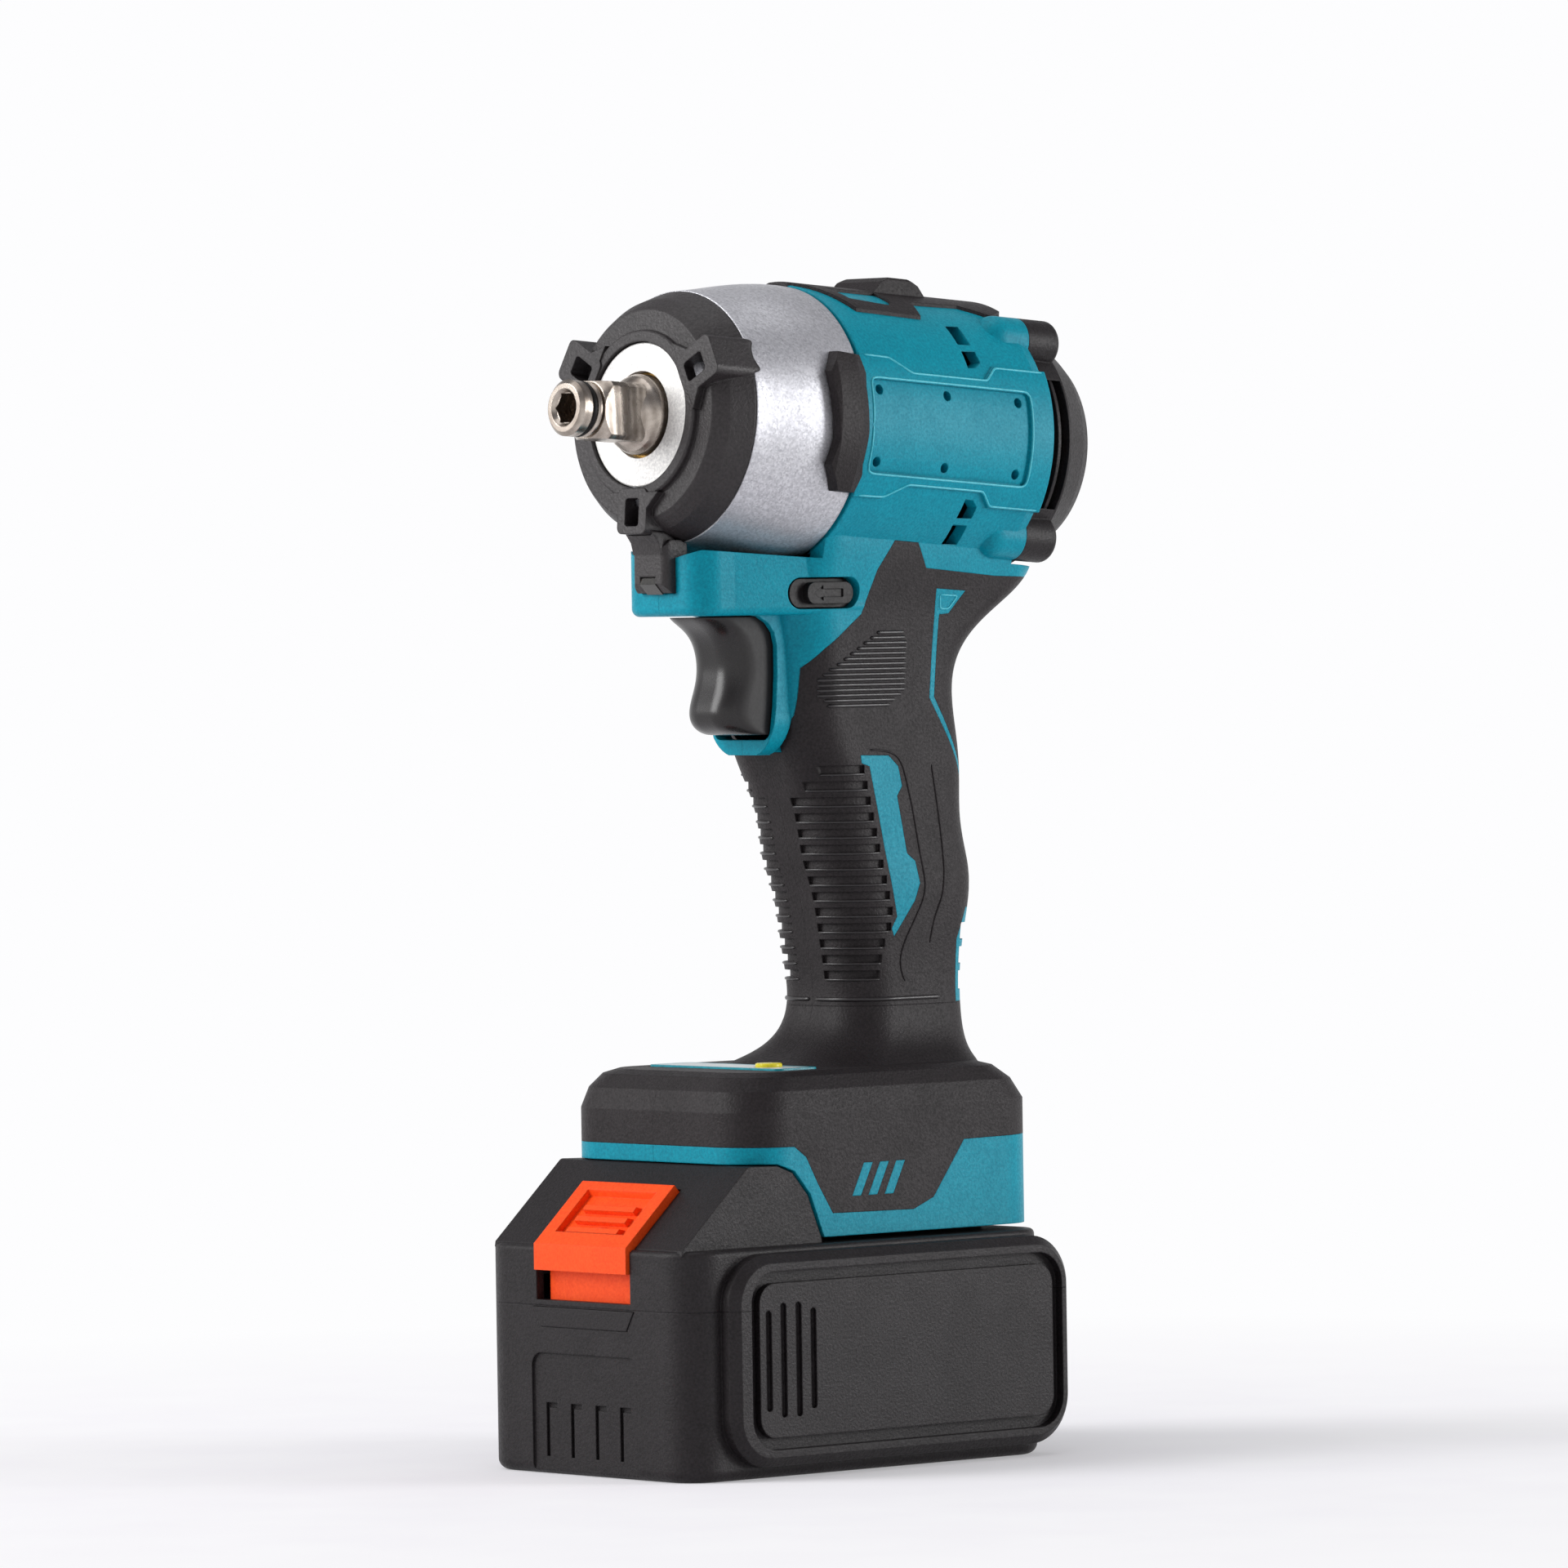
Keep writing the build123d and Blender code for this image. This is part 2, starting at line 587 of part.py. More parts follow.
with BuildPart() as motor_bearings:
    for bearing_s in (FRONT_BEARING_S, REAR_BEARING_S):
        add(ring(bearing_s, bearing_s + BEARING_LENGTH, BEARING_R, SHAFT_RADIUS + RUNNING))
write("motor_bearings", motor_bearings.part)

with BuildPart() as rotor_core:
    add(ring(STATOR_S, STATOR_END, ROTOR_R, SHAFT_RADIUS + SEAT))
write("rotor_core", rotor_core.part)

with BuildPart() as stator_core:
    add(ring(STATOR_S, STATOR_END, STATOR_R, STATOR_R - 3.5))
    with BuildSketch(HEAD_FRONT.offset(STATOR_S)):
        with PolarLocations((ROTOR_R + STATOR_R - 3) / 2, STATOR_TEETH):
            Rectangle(STATOR_R - ROTOR_R - 3, 4.0)
        with PolarLocations(ROTOR_R + 1.6, STATOR_TEETH):
            Rectangle(2.0, 9.0)
    extrude(amount=STATOR_LENGTH)
    add(ring(STATOR_S, STATOR_END, ROTOR_R + 0.5), mode=Mode.SUBTRACT)
write("stator_core", stator_core.part)

with BuildPart() as stator_coils:
    with BuildSketch(HEAD_FRONT.offset(STATOR_S - 1.6)):
        with PolarLocations(18.0, STATOR_TEETH):
            Rectangle(6.0, 8.2)
    extrude(amount=STATOR_LENGTH + 3.2)
    with BuildSketch(HEAD_FRONT.offset(STATOR_S - SEAT)):
        with PolarLocations(18.0, STATOR_TEETH):
            Rectangle(10.0, 4.1)
    extrude(amount=STATOR_LENGTH + 2 * SEAT, mode=Mode.SUBTRACT)
write("stator_coils", stator_coils.part)

with BuildPart() as sensor_board:
    add(ring(BOARD_S, BOARD_S + 1.4, STATOR_R - 2.6, 7.0))
write("sensor_board", sensor_board.part)

with BuildPart() as fan:
    add(ring(FAN_S, FAN_S + 1.2, FAN_R, SHAFT_RADIUS + SEAT))
    add(ring(FAN_S, FAN_S + FAN_LENGTH - 1.0, 6.0, SHAFT_RADIUS + SEAT))
    with BuildSketch(HEAD_FRONT.offset(FAN_S + 1.2)):
        with PolarLocations(14.6, FAN_BLADES):
            Rectangle(13.0, 1.0)
    extrude(amount=FAN_LENGTH - 1.2)
write("fan", fan.part)

# ---------------------------------------------------------------- forms of the housing
FOOT_MIDDLE = (FOOT_FRONT + FOOT_REAR) / 2
FOOT_LENGTH = FOOT_REAR - FOOT_FRONT

# side outline, (y, z): where the black grip meets the teal housing
GRIP_EDGE = (
    (-6.4, 157.2), (-6.1, 158.8), (-5.6, 162.0), (-4.8, 166.0), (-4.4, 176.5), (-0.2, 180.7), (9.6, 188.2),
    (13.2, 198.0), (18.1, 205.0), (24.4, 204.7), (27.8, 198.2), (49.0, 196.2),
)
# front edge of the foot above the battery's tower, from the front towards the battery deck
TOWER_EDGE = ((-29.6, BAND_BOTTOM - 0.2), (-25.0, 66.5), (-20.5, 61.3), (-16.6, FOOT_BOTTOM))
# upper edge of the teal band round the foot's field
FIELD_EDGE = (
    (-25.0, BAND_TOP - 0.4), (-21.6, 69.4), (-18.4, 63.6), (-14.0, BAND_LOW_TOP + 0.3),
    (10.0, BAND_LOW_TOP), (16.0, 58.8), (25.4, 71.2),
)
INLAY = (
    (9.9, 156.8), (18.2, 156.6), (21.1, 154.1), (22.2, 149.7), (20.7, 147.5), (23.7, 134.6), (26.1, 132.8),
    (27.4, 127.9), (25.9, 124.0), (20.0, 116.2), (19.2, 118.0), (20.7, 120.6), (18.3, 130.4), (12.5, 154.3),
    (10.2, 155.0),
)
PIN_STRIPE = (
    (31.6, 193.6), (40.4, 193.0), (35.8, 188.0), (33.0, 187.8), (32.0, 169.4), (36.2, 162.6), (45.0, 149.0),
    (44.0, 149.0), (34.8, 162.6), (30.6, 169.2), (31.6, 187.0),
)
NECK_HEIGHT = 100.8
LADDER_FOOT = 101.0
LADDER_TOP = 122.0
LADDER_Y = 39.4
LADDER_SLOTS = ((103.6, 107.8), (109.4, 113.2), (114.8, 118.6))


def handle_form(inset):
    """The handle from the foot's deck up into the barrel, shrunk by inset all round."""
    with BuildPart() as form:
        for height, middle, half_depth, half_width, corner in HANDLE_SECTIONS:
            with BuildSketch(Plane.XY.offset(height)):
                with Locations((0, middle)):
                    RectangleRounded(2 * (half_width - inset), 2 * (half_depth - inset), corner - inset)
        loft()
    return form.part


def foot_form(inset):
    """The foot's box with its sloping shoulder, shrunk by inset at the sides and the deck."""
    with BuildPart() as form:
        for height, side, front, rear, share in FOOT_SECTIONS:
            with BuildSketch(Plane.XY.offset(height - share * inset)):
                with Locations((0, FOOT_MIDDLE + (front - rear) / 2)):
                    RectangleRounded(
                        FOOT_WIDTH - 2 * (side + inset), FOOT_LENGTH - front - rear - 2 * inset,
                        FOOT_CORNER - inset,
                    )
        loft(ruled=True)
    return form.part


def across(points, corner=0.0, reach=60.0):
    """A side outline carried right through the tool."""
    return side_prism(points, -reach, reach, SIDE, corner)


GRIP_ZONE = across(((-60, 157.2), *GRIP_EDGE, (90, 195.0), (90, NECK_HEIGHT), (-60, NECK_HEIGHT)))
FOOT_ZONE = across(((-60, BAND_TOP), *FIELD_EDGE, (90, BAND_TOP), (90, NECK_HEIGHT), (-60, NECK_HEIGHT)))
TOWER_ZONE = across(((-60, 30), (-60, BAND_BOTTOM), *TOWER_EDGE, (-16.6, 30)))
LADDER_ZONE = across((
    (LADDER_Y, LADDER_FOOT), (60, LADDER_FOOT), (60, LADDER_TOP), (LADDER_Y + 3.6, LADDER_TOP),
    (LADDER_Y, LADDER_TOP - 7),
))
WINDOW_ZONES = (across(INLAY), across(PIN_STRIPE), LADDER_ZONE)
LEFT_HALF = across(((-90, -5), (120, -5), (120, 290), (-90, 290))).moved(Location((60, 0, 0)))
RIGHT_HALF = LEFT_HALF.moved(Location((-120, 0, 0)))


def joined(*parts):
    """Several solids made one."""
    with BuildPart() as whole:
        add(parts)
    return whole.part


def kept(part, *zones):
    """What of a part lies inside every zone."""
    with BuildPart() as rest:
        add(part)
        for zone in zones:
            add(zone, mode=Mode.INTERSECT)
    return rest.part


def without(part, *zones):
    """What of a part lies outside every zone."""
    with BuildPart() as rest:
        add(part)
        for zone in zones:
            add(zone, mode=Mode.SUBTRACT)
    return rest.part


TOWER_WALL = across((
    (-60, 30), (-60, BAND_BOTTOM + 2.4), (-28.4, BAND_BOTTOM + 2.2), (-23.2, 68.3), (-18.4, 62.4),
    (-14.4, FOOT_BOTTOM - 1),
    (-14.4, 30),
))
HANDLE = handle_form(0)
OUTER = joined(foot_form(0), HANDLE)
CORE = joined(foot_form(GRIP_SKIN), handle_form(GRIP_SKIN))
HOLLOW = joined(foot_form(GRIP_SKIN + SHELL_WALL), handle_form(GRIP_SKIN + SHELL_WALL))

# ---------------------------------------------------------------- clamshell housing
TRIGGER_REAR = -2.5
TRIGGER_FOOT = 161.8
COLLAR_FLOOR = TRIGGER_FOOT - 1.2
SWITCH_Y = TRIGGER_REAR + TRIGGER_TRAVEL + 2.0
HOUSING_SCREWS = (  # y, z and the distance of the head's face from the middle
    (24.0, 150.0, 14.4), (28.5, 108.0, 13.0), (-19.5, 195.6, 12.6), (-27.0, 78.4, 29.0), (43.4, 66.0, 28.6),
)
VENTS = (
    ((93.2, 24.4), (97.3, 24.6), (97.4, 20.4), (93.5, 20.3)),
    ((93.5, 18.7), (97.7, 18.9), (98.0, 16.4), (95.9, 15.1), (93.6, 14.9)),
    ((94.1, -14.3), (96.4, -14.4), (98.3, -15.8), (98.3, -18.3), (93.9, -18.5)),
    ((93.9, -19.9), (98.1, -19.9), (98.8, -24.0), (94.4, -24.2)),
)
BADGE_BARS = tuple(((y, 60.2), (y + 2.6, 60.2), (y + 6.2, 67.4), (y + 3.6, 67.4)) for y in (-8.2, -3.4, 1.4))
PLATE_HOLES = [(s, level) for s in (64.9, 85.2, 106.6) for level in (-8.0, 8.0)]


def bar(y, z, radius, low_x, high_x):
    """A round bar across the tool."""
    with BuildPart() as solid:
        with BuildSketch(SIDE.offset(low_x)):
            with Locations((y, z)):
                Circle(radius)
        extrude(amount=high_x - low_x)
    return solid.part


# U-shaped collar that stands forward round the trigger's opening and curves up into the guard
with BuildPart() as collar:
    with BuildSketch(Plane.XZ.offset(-3)):
        with Locations((0, COLLAR_FOOT + 25)):
            RectangleRounded(2 * COLLAR_HALF, 50, 8.5)
    extrude(amount=20)
    collar_front = (
        (3, 150), (-9.8, 150), (-10.4, 161.0), (-9.4, 168.0), (-8.9, 175.0), (-8.9, 181.5), (-9.6, 184.4),
        (-11.4, 186.6), (-14.0, 188.0), (-17.0, 188.6), (-17.0, 190), (3, 190),
    )
    add(side_prism(collar_front, -20, 20), mode=Mode.INTERSECT)

with BuildPart() as guard:
    with BuildSketch(Plane.XY.offset(GUARD_BOTTOM)):
        with BuildLine():
            Polyline(
                (-GUARD_NOSE_WIDTH / 2, GUARD_FRONT), (GUARD_NOSE_WIDTH / 2, GUARD_FRONT),
                (GUARD_NOSE_WIDTH / 2 + 1, GUARD_FRONT + 10), (GUARD_REAR_WIDTH / 2, 2),
                (GUARD_REAR_WIDTH / 2, 20), (-GUARD_REAR_WIDTH / 2, 20), (-GUARD_REAR_WIDTH / 2, 2),
                (-GUARD_NOSE_WIDTH / 2 - 1, GUARD_FRONT + 10),
                close=True,
            )
        make_face()
    extrude(amount=20)
    fillet(guard.edges().filter_by(Axis.Z).group_by(Axis.Y)[0], 7.0)
    fillet(guard.faces().sort_by(Axis.Z)[0].edges(), 1.8)
    add(collar.part)
    add(GRIP_ZONE, mode=Mode.SUBTRACT)
    add(Pos(0, -5, COLLAR_FLOOR - 1.5) * Box(12, 5, 2.6))  # ties the collar's foot to the handle

with BuildPart() as guard_hollow:
    with BuildSketch(Plane.XY.offset(GUARD_BOTTOM + 1.2)):
        with BuildLine():
            Polyline(
                (-9, -31.4), (9, -31.4), (10, -22), (14.5, 0), (14.5, 20), (-14.5, 20), (-14.5, 0), (-10, -22),
                close=True,
            )
        make_face()
    extrude(amount=30)

with BuildPart() as post_noses:
    for x, level in POST_SPOTS:
        with Locations(HEAD_FRONT.offset(POST_DOME) * Location((x, level, 0))):
            Sphere(POST_R)
            Cylinder(POST_R, BARREL_REAR - POST_DOME, align=(Align.CENTER, Align.CENTER, Align.MIN))

panel_upper = [(57.0, 16.0), (69.3, 15.8), (75.4, 12.7), (97.6, 12.7), (101.0, 15.8), (BARREL_REAR, 15.8)]
panel_lower = [(s, -h) for s, h in reversed(panel_upper)]

# rubber bumper on top of the barrel, with a window and a thumb rest
with BuildPart() as bumper_plan:
    with BuildSketch(HEAD_TOP):
        with BuildLine():
            Polyline(
                (-3.0, BARREL_FRONT + 0.4), (3.0, BARREL_FRONT + 0.4), (18.5, 68), (19, 87), (13, 89), (12, 104),
                (16, 111), (13, BARREL_REAR - 0.3), (-13, BARREL_REAR - 0.3), (-16, 111), (-12, 104), (-13, 89),
                (-19, 87), (-18.5, 68), close=True,
            )
        make_face()
        for side in (-1, 1):
            with BuildLine():
                Polyline(
                    (side * 8, 67.5), (side * 14.5, 69.5), (side * 16, 80), (side * 13.5, 82.5), (side * 8, 82.5),
                    close=True,
                )
            make_face(mode=Mode.SUBTRACT)
    extrude(amount=45)

with BuildPart() as bumper_hump:
    add(side_prism(
        ((81.5, 25), (82.5, 31.5), (85.2, 34.3), (87.6, 35.4), (93.2, 35.4), (96.2, 34.0), (98.5, 31.5), (98.5, 25)),
        -7.5, 7.5, HEAD_SIDE,
    ))
    fillet(bumper_hump.edges().filter_by(lambda edge: edge.length < 6).group_by(Axis.Z)[-1], 0.8)

with BuildPart() as top_bumper:
    add(ring(BARREL_FRONT, BARREL_REAR, BARREL_R + 0.7, BARREL_R - 1.2))
    add(bumper_plan.part, mode=Mode.INTERSECT)
    add(bumper_hump.part)
    add(ring(BARREL_FRONT, BARREL_REAR, BARREL_R - 1.2), mode=Mode.SUBTRACT)
write("top_bumper", top_bumper.part)

with BuildPart() as trigger_room:
    with Locations((0, -10, (COLLAR_FLOOR + GUARD_BOTTOM) / 2)):
        Box(TRIGGER_WIDTH + 2 * TRIGGER_GAP, 26, GUARD_BOTTOM - COLLAR_FLOOR)
    fillet(trigger_room.edges().filter_by(Axis.Y).group_by(Axis.Z)[0], 2.0)
plate_corners = [(62.6, -PLATE_HALF_HEIGHT), (109.7, -PLATE_HALF_HEIGHT), (109.7, PLATE_HALF_HEIGHT),
                 (62.6, PLATE_HALF_HEIGHT)]
shell_solids = [
    turned(
        (BARREL_FRONT, 0), (BARREL_FRONT, BARREL_R - 0.4), (BARREL_FRONT + 0.8, BARREL_R),
        (BARREL_REAR - 3, BARREL_R), (BARREL_REAR, BARREL_R - 0.8), (BARREL_REAR, 0),
    ),
    kept(
        ring(BARREL_FRONT, BARREL_REAR, BARREL_R + PANEL_STEP, BARREL_R - 1),
        side_prism(panel_upper + panel_lower, -40, 40, HEAD_SIDE),
    ),
    post_noses.part, guard.part, CORE, without(OUTER, GRIP_ZONE, FOOT_ZONE),
]
shell_solids += [kept(OUTER, window) for window in WINDOW_ZONES]
shell_solids += [kept(OUTER, across(badge_bar)) for badge_bar in BADGE_BARS]
shell_hollows = [
    side_prism(((-60, GUARD_TOP_H), (BARREL_FRONT, GUARD_TOP_H), (BARREL_FRONT, 60), (-60, 60)), -50, 50, HEAD_SIDE),
    side_prism(((BARREL_REAR, -27.2), (150, -27.2), (150, 40), (BARREL_REAR, 40)), -50, 50, HEAD_SIDE),
    ring(0, BARREL_FRONT + 0.5, CASE_R + SLIDING),
    ring(BARREL_REAR, 150, COVER_R + 1.0),
    *[head_post(*spot, BARREL_REAR, 150, POST_R + SLIDING) for spot in POST_SPOTS[2:]],
    ring(BARREL_FRONT, STATOR_S + 1, BARREL_R - BARREL_WALL),
    ring(STATOR_S, BARREL_REAR + 1, STATOR_R + SEAT),
    without(HOLLOW, TOWER_WALL, ring(BARREL_FRONT, BARREL_REAR, BARREL_R)),
    guard_hollow.part,
    TOWER_ZONE,
]
screw_bosses = [kept(joined(CORE, guard.part), bar(y, z, 3.6, -40, 40)) for y, z, _ in HOUSING_SCREWS]
openings = [
    without(side_prism(plate_corners, -50, 50, HEAD_SIDE, 1.0), ring(60, 112, BARREL_R)),
    top_bumper.part,
    rounded_slab(
        LEVER_DEPTH + 2 * SLIDING, LEVER_HEIGHT + 2 * SLIDING, 3.4, LEVER_Y, LEVER_Z, -50, 50,
    ),
    trigger_room.part,
    Pos(0, -35.4, 200) * Box(11.4 + 2 * SEAT, 10, 13.2),
    Pos(0, -10, 54) * Box(43.6, 22, 9.2),  # the rail's way in
    Pos(BUTTON_X, PANEL_Y, FOOT_DECK) * Cylinder(BUTTON_R + SLIDING, 12),
]
for low, high in LADDER_SLOTS:
    slot = across(((LADDER_Y + 1.6, low), (60, low), (60, high), (LADDER_Y + 1.6, high)))
    openings.append(without(slot, CORE))
for y, z, face_x in HOUSING_SCREWS:
    openings += [bar(y, z, SCREW_R + SEAT, -face_x, 9.0), bar(y, z, 3.05, -45, -face_x + 2.0)]
openings += [head_post(*spot, BARREL_REAR - 9, BARREL_REAR + 1, SCREW_R + SEAT) for spot in POST_SPOTS]
for side in (-1, 1):
    for s, level in PLATE_HOLES:
        y = TIP_Y + s * cos(radians(HEAD_TILT)) + level * sin(radians(HEAD_TILT))
        z = TIP_Z - s * sin(radians(HEAD_TILT)) + level * cos(radians(HEAD_TILT))
        openings.append(bar(y, z, 1.1, *sorted((side * 28.6, side * 38))))
    for vent in VENTS:
        openings.append(side_prism(vent, *sorted((side * 14, side * 40)), HEAD_SIDE))

with BuildPart() as housing:
    add(shell_solids)
    add(shell_hollows, mode=Mode.SUBTRACT)
    add(screw_bosses)
    add(openings, mode=Mode.SUBTRACT)
for name, half in (("left_housing", LEFT_HALF), ("right_housing", RIGHT_HALF)):
    write(name, largest(kept(housing.part, half)))


def screw(place, length, head_radius=2.9, shank=SCREW_R):
    """A screw whose shank runs along the place's z from under its head."""
    with BuildPart() as fastener:
        with BuildSketch(place):
            Circle(shank)
        extrude(amount=length)
        with BuildSketch(place):
            Circle(head_radius)
        extrude(amount=-1.8)
        with BuildSketch(place.offset(-1.8)):
            RegularPolygon(1.1, 6)
        extrude(amount=1.2, mode=Mode.SUBTRACT)
    return fastener.part


with BuildPart() as housing_screws:
    for y, z, face_x in HOUSING_SCREWS:
        add(screw(Plane(origin=(-face_x + 2.0, y, z), x_dir=(0, 1, 0), z_dir=(1, 0, 0)), face_x + 5))
write("housing_screws", housing_screws.part)

# ---------------------------------------------------------------- rear cover
COVER_FRONT = BARREL_REAR + SEAT
with BuildPart() as cover_posts:
    for spot in POST_SPOTS:
        add(head_post(*spot, COVER_FRONT, POST_REAR, POST_R))
    ends = cover_posts.faces().filter_by(GeomType.PLANE).group_by(DRIVE_AXIS)[-1]
    fillet(ends.edges(), 1.6)

with BuildPart() as rear_cover:
    add(turned(
        (COVER_FRONT, 0), (COVER_FRONT, COVER_R - 0.6), (COVER_FRONT + 2, COVER_R + 0.4), (126, COVER_R), (133, 24.6),
        (136, 22.7), (137.6, 20), (138.6, 15), (COVER_REAR, 9), (COVER_REAR, 0),
    ))
    add(cover_posts.part)
    add(turned(
        (COVER_FRONT - 1, 0), (COVER_FRONT - 1, 26.2), (125.6, 26.2 - 0.6), (131.9, 22.4), (134.4, 20.6),
        (REAR_BEARING_S + BEARING_LENGTH, 17), (REAR_BEARING_S + BEARING_LENGTH, BEARING_R + 2.5),
        (REAR_BEARING_S, BEARING_R + 2.5), (REAR_BEARING_S, BEARING_R + SEAT),
        (REAR_BEARING_S + BEARING_LENGTH + SEAT, BEARING_R + SEAT), (REAR_BEARING_S + BEARING_LENGTH + SEAT, 0),
    ), mode=Mode.SUBTRACT)
    for side in (-1, 1):
        add(
            side_prism(
                ((117.6, -14.5), (125.4, -14.5), (125.4, 14.5), (117.6, 14.5)),
                min(side * 18, side * 40), max(side * 18, side * 40), HEAD_SIDE,
            ), mode=Mode.SUBTRACT,
        )
    for louvre_s in (119.6, 122.4):
        middle_strip = across(((-50, 170), (150, 170), (150, 280), (-50, 280)), 0, 17)
        add(without(ring(louvre_s, louvre_s + 0.9, 27.6, 26.0), middle_strip))
    for spot in POST_SPOTS:
        add(head_post(*spot, COVER_FRONT - 1, POST_REAR, SCREW_R + SEAT), mode=Mode.SUBTRACT)
        add(head_post(*spot, POST_REAR - 2.4, POST_REAR + 1, 3.05), mode=Mode.SUBTRACT)
write("rear_cover", rear_cover.part)

with BuildPart() as rear_cover_screws:
    for x, level in POST_SPOTS:
        seat = Plane(HEAD_FRONT * Location((x, level, POST_REAR - 2.4 + SEAT)))
        inwards = Plane(origin=seat.origin, x_dir=seat.x_dir, z_dir=-seat.z_dir)
        add(screw(inwards, POST_REAR - BARREL_REAR + 5))
write("rear_cover_screws", rear_cover_screws.part)

# ---------------------------------------------------------------- rubber pads and grips
PAD_OUTLINE = (
    (52.7, 15.6), (59.2, 15.2), (60.2, 11.3), (59.4, 8.1), (60.2, -2.2), (59.4, -8.9), (60.3, -11.4), (59.2, -15.2),
    (53.9, -15.1), (50.2, -9.6), (51.3, -3.8), (49.8, 11),
)
with BuildPart() as side_pads:
    add(turned(
        (49, CASE_R + SEAT), (49, 33.2), (51.5, 34.2), (57.5, 34.2), (BARREL_FRONT - SLIDING, 33.4),
        (BARREL_FRONT - SLIDING, CASE_R + SEAT),
    ))
    add(side_prism(PAD_OUTLINE, -50, 50, HEAD_SIDE), mode=Mode.INTERSECT)
    add(ring(40, 62, CASE_R + 6 * SEAT), mode=Mode.SUBTRACT)
write("side_pads", side_pads.part)

SLOT_ROWS = 14
SLOT_TOP = 153.7
SLOT_PITCH = 3.53
SLOT_HEIGHT = 1.8
SLOT_DEPTH = 0.9
SLOT_RIGHT = ((153.7, 11.0), (147.0, 12.7), (122.0, 19.3), (118.0, 19.0), (114.0, 17.0), (107.0, 16.3))


def slot_end(height):
    """How far back the finger slot at a height runs."""
    for (high, y_high), (low, y_low) in zip(SLOT_RIGHT, SLOT_RIGHT[1:]):
        if height >= low:
            return y_low + (y_high - y_low) * (height - low) / (high - low)
    return y_low


def handle_section(height):
    """Middle y, half depth and half width of the handle at a height."""
    section = HANDLE.intersect(Face.make_rect(100, 200, Plane.XY.offset(height)))[0]
    extent = section.bounding_box()
    return extent.center().Y, extent.size.Y / 2, extent.size.X / 2


with BuildPart() as finger_slots:
    for row in range(SLOT_ROWS):
        height = SLOT_TOP - SLOT_PITCH * row
        start_x = (13.0, 9.0)[row] if row < 2 else 4.2
        middle, half_depth, half_width = handle_section(height)
        front_y = middle - half_depth - 3
        with BuildSketch(Plane.XY.offset(height - SLOT_HEIGHT / 2)):
            for side in (-1, 1):
                with Locations((side * (start_x + 20), (front_y + slot_end(height)) / 2)):
                    Rectangle(40, slot_end(height) - front_y)
            with Locations((0, middle)):
                RectangleRounded(
                    2 * (half_width - SLOT_DEPTH), 2 * (half_depth - SLOT_DEPTH), 10.0, mode=Mode.SUBTRACT,
                )
        extrude(amount=SLOT_HEIGHT)

with BuildPart() as grip:
    add(kept(OUTER, GRIP_ZONE))
    add([CORE, *WINDOW_ZONES, guard.part, trigger_room.part, ring(40, 150, BARREL_R)], mode=Mode.SUBTRACT)
    add(finger_slots.part, mode=Mode.SUBTRACT)
    add([bar(y, z, 3.05, -45, -5) for y, z, _ in HOUSING_SCREWS[:2]], mode=Mode.SUBTRACT)
for name, half in (("left_grip", LEFT_HALF), ("right_grip", RIGHT_HALF)):
    write(name, largest(kept(grip.part, half)))

with BuildPart() as foot_cover:
    add(kept(OUTER, FOOT_ZONE))
    add([CORE] + [across(badge_bar) for badge_bar in BADGE_BARS], mode=Mode.SUBTRACT)
    with Locations((0, PANEL_Y, FOOT_DECK)):
        Box(PANEL_WIDTH + 2 * SEAT, PANEL_DEPTH + 2 * SEAT, 6, mode=Mode.SUBTRACT)
    for y, z, _ in HOUSING_SCREWS[3:]:
        add(bar(y, z, 3.05, -45, -5), mode=Mode.SUBTRACT)
for name, half in (("left_foot_cover", LEFT_HALF), ("right_foot_cover", RIGHT_HALF)):
    write(name, largest(kept(foot_cover.part, half)))

with BuildPart() as rear_grip_plate:
    add(handle_form(-1.0))
    add(OUTER, mode=Mode.SUBTRACT)
    add(rounded_slab(20, 19, 0.4, 55, 113.2, -7, 7), mode=Mode.INTERSECT)
write("rear_grip_plate", rear_grip_plate.part)
# ---------------------------------------------------------------- trigger, lever and switch
with BuildPart() as led_housing:
    add(side_prism(
        ((-37.2, 195.6), (-35.2, 193.5), (-30.6, 193.5), (-30.6, 205.2), (-35.4, 205.2), (-37.2, 203.4)), -5.7, 5.7,
    ))
    fillet(led_housing.edges().filter_by(Axis.Z).group_by(Axis.Y)[0], 2.0)
    neck = ((-30.6, 204), (-30.6, 212), (-41.0, 212), (-41.0, 208.2), (-39.6, 206.9), (-37.9, 204.6), (-37.2, 202))
    add(side_prism(neck, -4.7, 4.7))
    add(side_prism(((-38, 196.3), (-34.6, 192.9), (-33.6, 193.9), (-37, 197.3)), -2.6, 2.6), mode=Mode.SUBTRACT)
    add(turned(
        (WASHER_S - 2, 0), (WASHER_S - 2, NOSE_R + 6 * SEAT), (WASHER_S + 0.8, NOSE_R + 6 * SEAT),
        (WASHER_S + 4, NOSE_R + 2.3 + 6 * SEAT), (CASE_STEP_S, NOSE_REAR_R + 0.3),
        (CASE_STEP_S + 7, NOSE_REAR_R + 1.7), (CASE_STEP_S + 7, 0),
    ), mode=Mode.SUBTRACT)
    add(nose_lug(180.0, LUG_R - 2.0 + 6 * SEAT), mode=Mode.SUBTRACT)
write("led_housing", led_housing.part)

with BuildPart() as led_lens:
    add(side_prism(
        ((-37.3, 195.4), (-35.1, 193.2), (-33.8, 193.9 + SEAT), (-36.8, 196.9)), -2.6 + SEAT, 2.6 - SEAT,
    ))
write("led_lens", led_lens.part)

